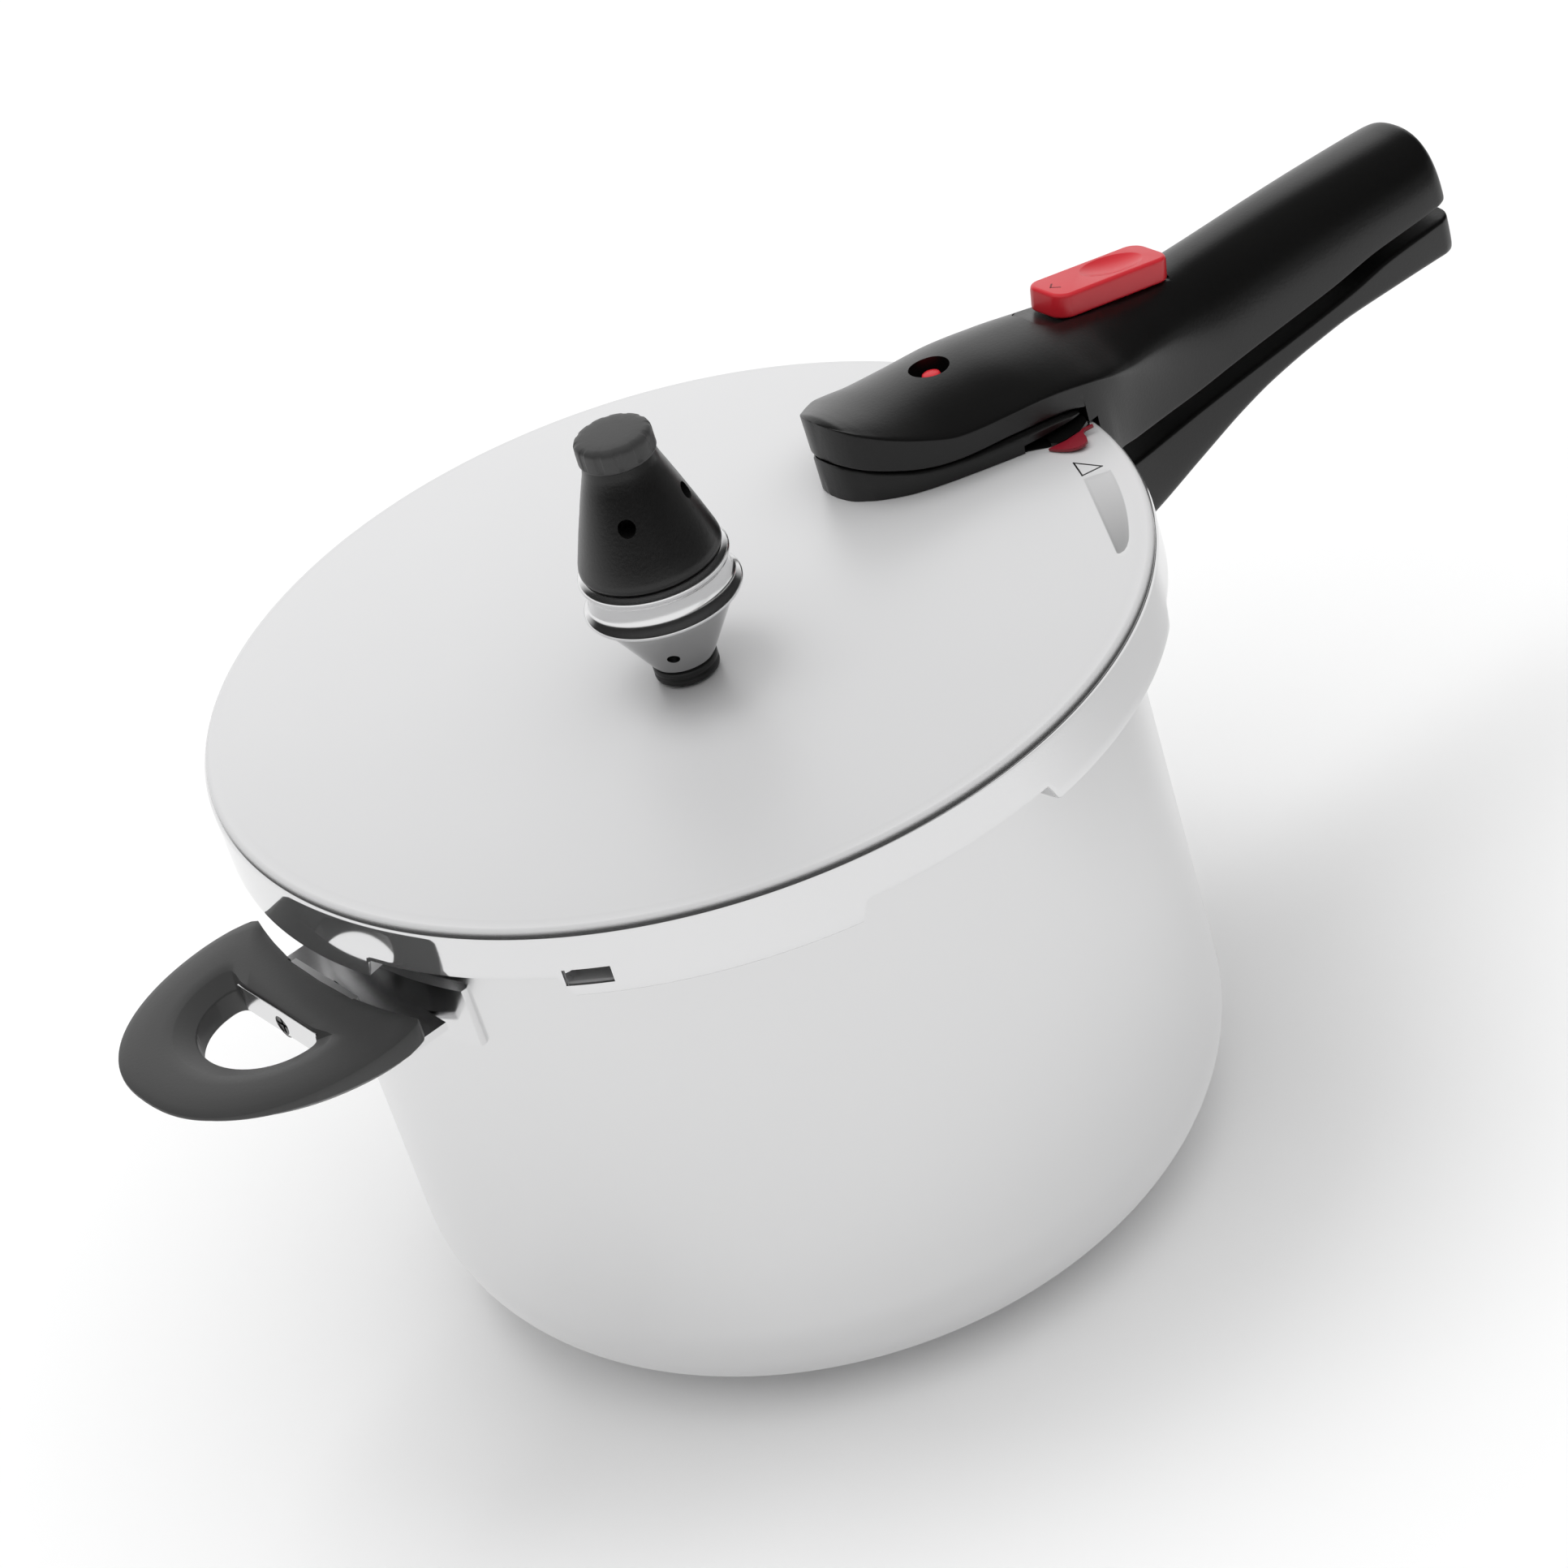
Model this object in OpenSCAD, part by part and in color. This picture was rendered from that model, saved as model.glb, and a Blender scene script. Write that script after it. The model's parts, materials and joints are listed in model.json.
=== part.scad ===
/* [Pot] */
// Outer radius of the pot wall
pot_r = 110; // [100:1:125]
// Radius of the rounded corner between wall and base
corner_r = 33; // [25:1:38]
// Thickness of the pot wall
wall = 1.6; // [1.2:0.1:2.2]
// Height of the top face of the pot's rolled flange
flange_z = 159; // [150:1:175]
// How far the locking lugs reach out from the axis
lug_r = 119.5; // [118:0.5:120]
// Number of locking lugs round the rim
lugs = 6; // [4:1:8]
// Angle covered by each pot lug
lug_deg = 24; // [20:1:28]

/* [Lid] */
// Outer radius of the lid's skirt
skirt_r = 123.5; // [122:0.5:128]
// Rise of the crowned lid from its edge to its middle
crown = 6.7; // [4:0.1:12]
// Thickness of the lid sheet
lid_t = 1.8; // [1.4:0.1:2.4]
// Angle covered by each deep section of the skirt
deep_deg = 34; // [28:1:34]
// Azimuth of the first deep section
deep_az = -5.4; // [-8:0.1:0]

/* [Lid handle] */
// Length of the lid handle from the axis to its end
grip_end = 263.3; // [250:0.1:290]
// Half width of the handle where it crosses the rim
rim_half = 30; // [24:1:32]
// Half width of the grip
grip_half = 17.5; // [14:0.5:20]
// Radius of the sight hole over the float pin
sight_r = 5.2; // [4:0.1:6]

/* [Button] */
// Length of the red button
button_l = 39; // [34:1:44]
// Width of the red button
button_w = 15; // [12:0.5:18]
// Height of the button above the handle
button_h = 6.5; // [4:0.5:8]

/* [Helper handle] */
// How far the helper handle reaches from the axis
helper_x = 176.5; // [165:0.5:185]
// Half width of the helper handle at its root
helper_half = 38.8; // [32:0.2:44]
// Half width of the finger opening
finger_half = 18; // [14:0.5:22]

/* [Regulator] */
// Distance from the handle axis to the vent
vent_y = -29; // [-35:1:-24]
// Position of the vent along the handle axis
vent_x = -15.6; // [-22:0.2:-8]
// Height of the conical hood above the steel band
hood_h = 27; // [22:1:34]

/* [Hidden] */
$fn = 96;
step = 360 / lugs;
edge_z = flange_z + 13.3;
top_z = edge_z + crown;
flat_r = skirt_r - 2;
crown_R = (flat_r * flat_r + crown * crown) / (2 * crown);
inner_r = pot_r - wall;
bowl_z = 8;
sole_z = 7;
core_r = 82;
button_x = 151.5;
button_z = 184.6;
tilt = 12;
stroke = 6;
vent_z = crown_z(norm([vent_x, vent_y]));

function crown_z(r) = top_z - crown_R + sqrt(crown_R * crown_R - r * r);
function arc(cx, cz, r, a0, a1, n) =
    [for (i = [0:n]) [cx + r * cos(a0 + (a1 - a0) * i / n), cz + r * sin(a0 + (a1 - a0) * i / n)]];
// Half width of the lid handle's far side, as a share of the near side, which flares over the catch.
far_share = [[56, 1], [70, 1], [75, 0.975], [81, 0.945], [95.5, 0.83], [109, 0.707], [118, 0.667], [128, 0.69],
             [140, 0.8], [155, 0.91], [175, 0.99], [190, 1]];
function share(x) = along(far_share, max(56, min(190, x)));
function two_sided(p) = concat([for (q = p) [q[0], q[1] * share(q[0])]],
    [for (i = [len(p) - 1:-1:0]) [p[i][0], -p[i][1]]]);
function mirrored(p) = concat(p, [for (i = [len(p) - 1:-1:0]) [p[i][0], -p[i][1]]]);

// A value along x from a table of [x, value], eased between its rows.
function along(table, x, i = 0) =
    x <= table[0][0] ? table[0][1]
    : i >= len(table) - 1 ? table[len(table) - 1][1]
    : x <= table[i + 1][0]
        ? table[i][1] + (table[i + 1][1] - table[i][1]) * (x - table[i][0])
            / (table[i + 1][0] - table[i][0])
    : along(table, x, i + 1);

// Half a cross section of the lid handle: wall from the bottom up to the ridge, then the crowned top.
function shell_side(w, wb, zb, zr, zt) = [
    [wb - 1.6, zb], [wb - 0.4, zb + 0.5], [wb, zb + 1.6],
    [wb + (w - wb) * 0.3 - 0.5, zb + (zr - zb) * 0.38], [wb + (w - wb) * 0.72 - 0.3, zb + (zr - zb) * 0.75],
    [w, zr - 0.8], [w - 0.6, zr], [w * 0.86, zr + (zt - zr) * 0.3], [w * 0.66, zr + (zt - zr) * 0.6],
    [w * 0.4, zr + (zt - zr) * 0.85], [w * 0.14, zt]];
// Half an arched section, for the grip: full at the foot and round over the top.
function arch_side(w, zb, zt) = concat([[w - 1.6, zb], [w - 0.4, zb + 0.5], [w, zb + 1.6]],
    [for (a = [0.99, 0.96, 0.9, 0.82, 0.7, 0.55, 0.36, 0.13])
        [w * a, zb + (zt - zb) * pow(1 - pow(a, 2.5), 0.4)]]);
function mixed(p, q, t) = [for (i = [0:len(p) - 1]) p[i] + (q[i] - p[i]) * t];
function ring(x, half) = concat([for (p = half) [x, p[0], p[1]]],
    [for (i = [len(half) - 1:-1:0]) [x, -half[i][0], half[i][1]]]);

// A closed skin through rings of equal length, from the first ring to the last.
module loft(rings) {
    n = len(rings[0]);
    m = len(rings);
    skin = [for (j = [0:m - 2]) for (i = [0:n - 1])
        [j * n + i, (j + 1) * n + i, (j + 1) * n + (i + 1) % n, j * n + (i + 1) % n]];
    quads = [for (f = skin) each [[f[0], f[1], f[2]], [f[0], f[2], f[3]]]];
    ends = [[for (i = [0:n - 1]) i], [for (i = [n - 1:-1:0]) (m - 1) * n + i]];
    polyhedron([for (r = rings) each r], concat(quads, ends));
}

module sector(r0, r1, z0, z1, mid, wide) {
    rotate([0, 0, mid - wide / 2])
        rotate_extrude(angle = wide)
            translate([r0, z0]) square([r1 - r0, z1 - z0]);
}

module tube(ro, ri, z0, z1) {
    translate([0, 0, z0]) difference() {
        cylinder(r = ro, h = z1 - z0);
        translate([0, 0, -1]) cylinder(r = ri, h = z1 - z0 + 2);
    }
}

// The drawn shell: bowl, wall, rolled flange and the lugs left between its gaps.
module pot_body() {
    flat = pot_r - corner_r;
    sole_r = sqrt(corner_r * corner_r - (corner_r - sole_z) * (corner_r - sole_z));
    bowl_r = sqrt((corner_r - wall) * (corner_r - wall) - (corner_r - bowl_z) * (corner_r - bowl_z));
    a_out = atan2(sole_z - corner_r, sole_r);
    a_in = atan2(bowl_z - corner_r, bowl_r);
    color("silver") difference() {
        rotate_extrude() polygon(concat(
            [[0, sole_z - 0.6], [flat + sole_r, sole_z - 0.6]],
            arc(flat, corner_r, corner_r, a_out, 0, 14),
            [[pot_r, flange_z - 7], [pot_r + 0.6, flange_z - 4.4], [pot_r + 2.5, flange_z - 3],
             [lug_r - 0.8, flange_z - 3], [lug_r, flange_z - 2.2], [lug_r, flange_z - 0.8],
             [lug_r - 0.8, flange_z], [inner_r + 1.4, flange_z], [inner_r + 0.4, flange_z - 0.5],
             [inner_r, flange_z - 1.6]],
            arc(flat, corner_r, corner_r - wall, 0, a_in, 14),
            [[0, bowl_z]]));
        for (i = [0:lugs - 1])
            sector(pot_r + 2.6, lug_r + 3, flange_z - 4, flange_z + 1,
                   deep_az + step / 2 + i * step, step - lug_deg);
    }
}

// Thick aluminium disc that spreads the heat, closed in under the bowl.
module base_core() {
    color("gainsboro") translate([0, 0, 1.2]) cylinder(r = core_r, h = sole_z - 1.8);
}

// Steel sole bonded over the disc, its edge running into the corner of the pot.
module base_cap() {
    flat = pot_r - corner_r;
    sole_r = sqrt(corner_r * corner_r - (corner_r - sole_z + 0.6) * (corner_r - sole_z + 0.6));
    a_out = atan2(sole_z - 0.6 - corner_r, sole_r);
    color("silver") rotate_extrude() polygon(concat(
        [[0, 0]], arc(flat, corner_r, corner_r, -90, a_out, 6),
        [[core_r, sole_z - 0.6], [core_r, 1.2], [0, 1.2]]));
}

// Steel bracket welded to the pot wall, its arm held in the slot of the lower handle.
module long_bracket() {
    color("silver") {
        difference() {
            translate([0, 0, 128]) intersection() {
                tube(pot_r + 1.6, pot_r, 0, 20);
                translate([pot_r - 12, -13, -1]) cube([20, 26, 22]);
            }
        }
        difference() {
            translate([pot_r + 0.6, -7, 133]) cube([52, 14, 3]);
            cylinder(r = pot_r, h = 200);
            translate([150, 0, 120]) cylinder(r = 2.6, h = 30);
        }
    }
}

// Lower long handle: bottom edge rises towards the grip, top edge dips behind the rim.
low_top = [[111, 145.5], [139, 144], [166, 143], [195, 143.5], [227, 147], [256, 152.5], [263.2, 153.4]];
low_bot = [[111, 121.5], [142, 127], [163, 132], [185, 136.5], [206, 140], [226, 141.2], [245, 140.6],
           [258, 139.8], [263.2, 139.4]];
low_half = [[111, 21], [126, 18.5], [150, 16.5], [190, 16], [240, 16.2], [255, 16], [259, 15],
            [261.3, 13.2], [262.6, 10.8], [263.2, 7]];
module lower_handle() {
    xs = concat([for (i = [0:22]) 111 + (255 - 111) * i / 22], [259, 261.3, 262.6, 263.2]);
    rings = [for (x = xs)
        let (w = along(low_half, x), zt = along(low_top, x), zb = along(low_bot, x), h = zt - zb)
        ring(x, [[w * 0.3, zb], [w * 0.62, zb + h * 0.05], [w * 0.86, zb + h * 0.2], [w, zb + h * 0.46],
                 [w, zt - h * 0.16], [w - 0.6, zt - 0.5], [w - 1.4, zt]])];
    color("dimgray") difference() {
        loft(rings);
        cylinder(r = pot_r, h = 200);
        translate([0, 0, 127.8]) intersection() {
            tube(pot_r + 1.7, pot_r - 1, 0, 30);
            translate([pot_r - 12, -13.2, -1]) cube([20, 26.4, 32]);
        }
        translate([pot_r - 2, -7, 133]) cube([54.6, 14, 3]);
        translate([150, 0, 120]) cylinder(r = 4.8, h = 11.2);
        translate([150, 0, 130]) cylinder(r = 2.6, h = 4);
        translate([150, 0, 135]) cylinder(r = 1.75, h = 5.4);
        translate([243, 0, 130]) cylinder(r = 4, h = 40);
    }
}

// Screw pointing up, with its head under the handle.
module lower_screw() {
    color("darkgray") translate([150, 0, 0]) difference() {
        union() {
            translate([0, 0, 129.4]) cylinder(r = 4.6, h = 1.8);
            translate([0, 0, 131.2]) cylinder(r = 2.5, h = 1.8);
            translate([0, 0, 133]) cylinder(r = 1.7, h = 7);
        }
        for (a = [0, 90])
            rotate([0, 0, a]) translate([-3, -0.5, 129]) cube([6, 1, 1.1]);
    }
}

// Bracket behind the helper handle.
module helper_bracket() {
    color("silver") {
        difference() {
            intersection() {
                tube(pot_r + 1.6, pot_r, 126, 143);
                translate([-pot_r - 4, -36, 120]) cube([24, 72, 30]);
            }
        }
        difference() {
            union() {
                translate([-128, -30, 131.4]) cube([18.5, 60, 2.2]);
                translate([-123.5, -14, 131.4]) cube([2, 28, 11.6]);
            }
            cylinder(r = pot_r + 0.8, h = 200);
            translate([-130, 0, 138.6]) rotate([0, 90, 0]) cylinder(r = 2.1, h = 12);
        }
    }
}

// Outline of the helper handle seen from above, and of its finger opening.
helper_out = concat(
    [[-121.6, helper_half - 3], [-124.5, helper_half], [-131, helper_half + 0.6]],
    [for (i = [0:14]) let (a = 90 - 90 * i / 14)
        [-131 - (helper_x - 131) * cos(a), (helper_half + 0.6) * pow(sin(a), 0.86)]]);
finger_out = concat([[-136.6, finger_half], [-140.5, finger_half + 1.6]],
    [for (i = [0:10]) let (a = 90 - 90 * i / 10)
        [-146 - 17.5 * cos(a), (finger_half + 1.8) * pow(sin(a), 0.9)]]);
module helper_handle() {
    color("dimgray") difference() {
        union() {
            translate([0, 0, 135.4]) linear_extrude(height = 9.2) polygon(mirrored(helper_out));
            translate([0, 0, 133.6]) linear_extrude(height = 2)
                intersection() {
                    polygon([for (p = mirrored(helper_out)) [p[0] * 0.97 - 4, p[1] * 0.93]]);
                    translate([-172, -40]) square([60, 80]);
                }
            translate([-134, -27, 127]) cube([11, 54, 8.6]);
        }
        cylinder(r = 123.6, h = 200);
        translate([0, 0, 120]) linear_extrude(height = 40) polygon(mirrored(finger_out));
        hull() {
            translate([0, 0, 138.5]) linear_extrude(height = 0.2)
                polygon([for (p = mirrored(finger_out)) if (p[0] < -140) p]);
            translate([0, 0, 145]) linear_extrude(height = 0.2)
                polygon([for (p = mirrored(finger_out)) if (p[0] < -140)
                    [-140 + (p[0] + 140) * 1.28, p[1] * 1.3]]);
        }
        translate([-128, -30.2, 131.4]) cube([8, 60.4, 2.2]);
        translate([-123.5, -14.5, 120]) cube([5, 29, 40]);
        translate([-145, 0, 138.6]) rotate([0, 90, 0]) cylinder(r = 2.1, h = 24);
        translate([-145, 0, 138.6]) rotate([0, 90, 0]) cylinder(r = 3.9, h = 9.8);
    }
}

module helper_screw() {
    color("darkgray") translate([-136.6, 0, 138.6]) rotate([0, 90, 0]) difference() {
        union() {
            cylinder(r = 3.7, h = 1.4);
            translate([0, 0, 1.4]) cylinder(r = 2, h = 15.4);
        }
        for (a = [0, 90])
            rotate([0, 0, a]) translate([-2.6, -0.45, -1]) cube([5.2, 0.9, 1.7]);
    }
}

// Rubber lip ring between the pot's flange and the lid.
module seal_ring() {
    z0 = flange_z;
    z1 = edge_z - lid_t - 0.1;
    color("gray") rotate_extrude() polygon([[106, z0], [118.2, z0], [120.6, z0 + 1], [121.2, z0 + 3],
        [121, z1 - 3], [119.4, z1], [116.4, z1], [115.4, z1 - 1], [115.4, z0 + 3.4],
        [114.6, z0 + 2.4], [107, z0 + 1.6]]);
}

// Crowned disc and skirt: the profile in one half plane, then the cuts round the rim.
lid_out = concat([for (i = [0:16]) let (r = flat_r * i / 16) [r, crown_z(r)]],
    arc(skirt_r - 2.6, edge_z - 2.6, 2.6, 75, 0, 5));
module lid_profile() {
    inner = [for (i = [14:-1:0]) let (r = 103 * i / 14) [r, crown_z(r) - lid_t]];
    polygon(concat(lid_out, [[skirt_r, flange_z - 5.6], [skirt_r - 0.5, flange_z - 6],
        [113.2, flange_z - 6], [113.2, flange_z - 3.6], [skirt_r - 1.8, flange_z - 3.6],
        [skirt_r - 1.8, edge_z - lid_t - 2], [skirt_r - 3.4, edge_z - lid_t - 0.1],
        [105, edge_z - lid_t - 0.1]], inner));
}
module lid() {
    color("silver") difference() {
        rotate_extrude() lid_profile();
        for (i = [0:lugs - 1])
            sector(100, skirt_r + 2, flange_z - 8, flange_z - 0.5,
                   deep_az + step / 2 + i * step, step - deep_deg);
        sector(skirt_r - 3, skirt_r + 1, flange_z - 2.6, flange_z + 2, -139.5, 5.6);
        translate([94, 0, 150]) cylinder(r = 5.2, h = 40);
        translate([vent_x, vent_y, 150]) cylinder(r = 4.6, h = 40);
        translate([74, 0, 150]) cylinder(r = 2.1, h = 40);
        intersection() {
            translate([0, 0, crown_z(113) - 1]) cylinder(r = 117.4, h = 5);
            rotate([0, 0, -47]) translate([0, 0, 160]) rotate_extrude(angle = 22)
                translate([100, 0]) square([30, 20]);
            rotate([0, 0, -24.7]) translate([109.1, -90, 160]) cube([30, 90, 20]);
        }
    }
}

// Steel bracket welded on the lid's rim under the handle.
module lid_bracket() {
    color("silver") difference() {
        translate([118, -9, 160.5]) cube([62, 18, 2.4]);
        cylinder(r = skirt_r, h = 200);
        translate([168, 0, 150]) cylinder(r = 2.6, h = 30);
    }
}

// The joint between the two layers climbs towards the nose.
seam_of = [[50, 190.4], [55, 188.6], [58, 187.2], [61, 185.9], [65, 184.5], [70, 183], [76, 181.8], [84, 180.9],
           [94, 180.4], [104, 180], [114, 179.2], [124.6, 178], [130, 177.3]];
function below_seam(low) = concat([[50, low], [130, low]], [for (i = [len(seam_of) - 1:-1:0]) seam_of[i]]);
base_half = [[56.4, 5], [57.2, 8.4], [59, 11.4], [62, 14.6], [67.8, 19.4], [72, 21.6], [77.5, 23.6],
             [92, 26.2], [102, 29], [110, 30.2], [121, 30.4]];
// Lower layer of the lid handle, seated on the crown of the lid.
module handle_base() {
    color("dimgray") difference() {
        intersection() {
            translate([0, 0, 165]) linear_extrude(height = 25) polygon(two_sided(base_half));
            rotate([90, 0, 0]) translate([0, 0, -40]) linear_extrude(height = 80)
                polygon(below_seam(160));
        }
        rotate_extrude() polygon(concat([[0, 100]], [[skirt_r, 100]],
            [for (i = [len(lid_out) - 1:-1:0]) lid_out[i]]));
        translate([94, 0, 150]) cylinder(r = 7.2, h = 60);
        translate([97.4, -40, 165]) cube([40, 80, 12.6]);
        translate([101, -9.2, 170]) cube([18, 18.4, 20]);
        translate([74, 0, 150]) cylinder(r = 2.1, h = 60);
    }
}

// Upper layer and grip of the lid handle.
top_z_of = [[56.6, 199.8], [58, 199.9], [60, 199.3], [64, 198.2], [70, 196.9],
            [75, 196.2], [84, 195.4], [93.6, 194.9], [104, 194.2], [118, 192.3], [130, 190], [140, 187.7],
            [152, 184.6], [165, 181.9], [177, 180.6], [213, 180], [240, 178.9], [253, 178.2],
            [260, 177.9], [262, 177.4], [262.9, 176.4], [263.3, 175]];
ridge_z_of = [[56.6, 199], [58, 198.1], [60, 196.9], [62, 195.8], [64.5, 194.5], [69, 192.5],
              [75, 190.1], [81, 188], [88, 187.2], [96, 186.7], [104.5, 186.5], [111.5, 185.6], [120, 183.4], [130, 179.5],
              [140, 175.5], [155, 172.5], [180, 171.5], [213, 171.2], [253, 170], [263.3, 167]];
ridge_half_of = [[56.6, 5.4], [57.2, 7.8], [58, 9.8], [60, 12.6], [63, 15.4], [66, 17.6], [70, 20],
                 [75, 22.2], [81, 24.2], [95.5, 26.2], [109, 29], [118, 30], [128, 29], [140, 24.5],
                 [155, 20.5], [175, 18.2], [200, 17.5], [250, 17], [263.3, 5]];
foot_half_of = [[56.6, 5.6], [57.2, 8], [58, 10], [60, 12.8], [63, 15.6], [66, 17.8], [70, 20.2],
                [75, 22.4], [81, 24], [93, 26], [105, 27.8], [118, 28.4], [124.4, 27.6], [126, 26],
                [136, 22.5], [148, 19.8], [163, 17.9], [187, 17.1], [250, 17], [256, 16.2], [259, 15],
                [261, 13.3], [262.3, 11.2], [263, 8], [263.3, 5]];
foot_z_of = [[56.6, 157.5], [126.2, 157.5], [136, 155.5], [148, 154.6], [163, 154.3], [187, 154.6],
             [217, 155.2], [238, 156.2], [250, 157.2], [256, 158.2], [262, 159.2], [263.3, 160]];
shell_x = concat([56.6, 57.2, 58, 60, 63, 66, 70, 75, 81, 88, 95.5, 103, 110, 117, 122, 126.2],
                 [for (i = [1:12]) 126.2 + (250 - 126.2) * i / 12], [256, 259, 261, 262.3, 263, 263.3]);
// Where a station of the tables falls once the grip's length is set.
function far(x) = x <= 187 ? x : 187 + (x - 187) * (grip_end - 187) / 76.3;
// How much the tables' half widths grow with the two width settings.
function widen(x) = x <= 118 ? rim_half / 30 : x >= 155 ? grip_half / 17.5
    : rim_half / 30 + (grip_half / 17.5 - rim_half / 30) * (x - 118) / 37;
module handle_shell() {
    rings = [for (x = shell_x)
        let (foot = along(foot_half_of, x) * widen(x), wide = along(ridge_half_of, x) * widen(x),
             low = along(foot_z_of, x), top = along(top_z_of, x),
             side = mixed(shell_side(wide, foot, low, along(ridge_z_of, x), top),
                          arch_side((wide + foot) / 2, low, top), max(0, min(1, (x - 126) / 34))))
        concat([for (q = side) [far(x), q[0] * share(x), q[1]]],
               [for (i = [len(side) - 1:-1:0]) [far(x), -side[i][0], side[i][1]]])];
    color("dimgray") difference() {
        loft(rings);
        rotate([90, 0, 0]) translate([0, 0, -40]) linear_extrude(height = 80)
            polygon(concat([[50, 140], [124.6, 140]],
                [for (i = [len(seam_of) - 2:-1:0]) seam_of[i]]));
        translate([94, 0, 150]) cylinder(r = sight_r, h = 60);
        at_button() {
            translate([-button_l / 2 - 0.5 - stroke, -button_w / 2 - 0.5, -0.6])
                cube([button_l + 1 + stroke, button_w + 1, 20]);
            translate([-13 - stroke, -6.2, -8]) cube([26 + stroke, 12.4, 10]);
            translate([-47 - stroke, -9.2, -10.8]) cube([64 + stroke, 18.4, 4.8]);
        }
        translate([101, -9.2, 170]) cube([18, 18.4, 16]);
        translate([118, -9, 160.5]) cube([62, 18, 2.4]);
        translate([168, 0, 150]) cylinder(r = 4.8, h = 11.5);
        translate([168, 0, 160]) cylinder(r = 1.75, h = 8.6);
        translate([74, 0, 180]) cylinder(r = 2.1, h = 8.5);
    }
}

module handle_screw_front() {
    color("darkgray") {
        translate([74, 0, crown_z(74) - lid_t - 1.6]) difference() {
            cylinder(r = 4.4, h = 2);
            translate([-74, 0, -crown_z(74) + lid_t + 1.6]) rotate_extrude() lid_profile();
            for (a = [0, 90])
                rotate([0, 0, a]) translate([-3, -0.5, -1]) cube([6, 1, 1.8]);
        }
        translate([74, 0, crown_z(74) - lid_t - 0.4]) cylinder(r = 2, h = 13);
    }
}

module handle_screw_rear() {
    color("darkgray") translate([0, 0, 0]) {
        translate([168, 0, 158.9]) cylinder(r = 4.6, h = 1.6);
        translate([168, 0, 160.4]) cylinder(r = 1.7, h = 8);
    }
}

// Guide for the float pin, screwed through the lid.
module float_housing() {
    z = crown_z(94);
    color("silver") translate([94, 0, 0]) {
        tube(5.1, 2.15, z - lid_t - 3, z + 3.4);
        difference() {
            union() {
                tube(7, 5, z - 1, z + 3.4);
                tube(7.4, 5, z - lid_t - 3, z - lid_t + 0.8);
            }
            translate([-94, 0, 0]) rotate_extrude() lid_profile();
        }
    }
}

module float_pin() {
    z = crown_z(94);
    color("crimson") translate([94, 0, 0]) {
        translate([0, 0, z - 12]) cylinder(r = 2.1, h = 29);
        translate([0, 0, z - 12]) cylinder(r = 4, h = 1.6);
        translate([0, 0, z + 16.8]) cylinder(r1 = 2.1, r2 = 1.2, h = 1);
    }
}

module float_seal() {
    z = crown_z(94);
    color("gray") translate([94, 0, 0]) tube(3.4, 2.1, z - 10.4, z - 9);
}

// Vent pipe that the regulator sits on.
module vent_pipe() {
    color("silver") translate([vent_x, vent_y, 0]) {
        tube(4.5, 1.3, vent_z - 9, vent_z + 2.4);
        tube(3.4, 1.3, vent_z + 2.4, vent_z + 20);
        difference() {
            translate([0, 0, vent_z - 0.8]) cylinder(r = 6.4, h = 3.2, $fn = 6);
            translate([0, 0, vent_z - 2]) cylinder(r = 4.4, h = 6);
            translate([-vent_x, -vent_y, 0]) rotate_extrude() lid_profile();
        }
    }
}

module vent_washer() {
    color("gray") difference() {
        translate([vent_x, vent_y, 0]) tube(7, 4.55, vent_z - lid_t - 1.9, vent_z - lid_t + 0.8);
        rotate_extrude() lid_profile();
    }
}

module vent_nut() {
    color("silver") translate([vent_x, vent_y, vent_z - lid_t - 5.4]) difference() {
        cylinder(r = 8, h = 3.5, $fn = 6);
        translate([0, 0, -1]) cylinder(r = 4.55, h = 6);
    }
}

module vent_filter() {
    color("silver") translate([vent_x, vent_y, vent_z - lid_t - 7.2]) difference() {
        tube(5.6, 4.55, -3.4, 1.8);
        for (a = [0:45:315])
            rotate([0, 0, a]) translate([0, 0, -1.4]) rotate([0, 90, 0]) cylinder(r = 0.8, h = 8);
    }
}

// The button's own frame, tilted with the handle's slope. It slides towards -X in this frame.
module at_button() {
    translate([button_x, 0, button_z]) rotate([0, tilt, 0]) children();
}

module button_block(l, w, r, h) {
    linear_extrude(height = h) {
        square([l - 2 * r, w], center = true);
        square([l, w - 2 * r], center = true);
        for (x = [-1, 1])
            for (y = [-1, 1])
                translate([x * (l / 2 - r), y * (w / 2 - r)]) circle(r = r);
    }
}

// Red button: a long rounded block with a thumb hollow, on a stem through the slot.
module slide_button() {
    color("crimson") at_button() {
        difference() {
            button_block(button_l, button_w, 3.4, button_h);
            translate([4, 0, button_h + 27.8]) rotate([90, 0, 0])
                cylinder(r = 29.5, h = 40, center = true);
        }
        translate([-12, -5.8, -6.4]) cube([24, 11.6, 6.6]);
    }
}

// Outline of the sliding catch, whose wing reaches out on the near side of the handle.
catch_out = [[104.6, 17], [119, 17], [119, -29], [117, -31.4], [115.4, -35.4], [112.4, -34.4], [109, -38.8],
             [106.4, -38], [101.4, -31.4], [104.6, -28.4]];
// Bar under the button, with a post down to the catch plate that locks at the rim.
module lock_bar() {
    color("crimson") {
        at_button() translate([-44, -8.6, -10.2]) cube([58, 17.2, 3.8]);
        translate([109.5, -6, 174.4]) cube([7, 12, 11]);
        difference() {
            translate([0, 0, 174.2]) linear_extrude(height = 1.6) polygon(catch_out);
            translate([100, -8.5, 170]) cube([8.6, 17, 10]);
        }
    }
}

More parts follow.
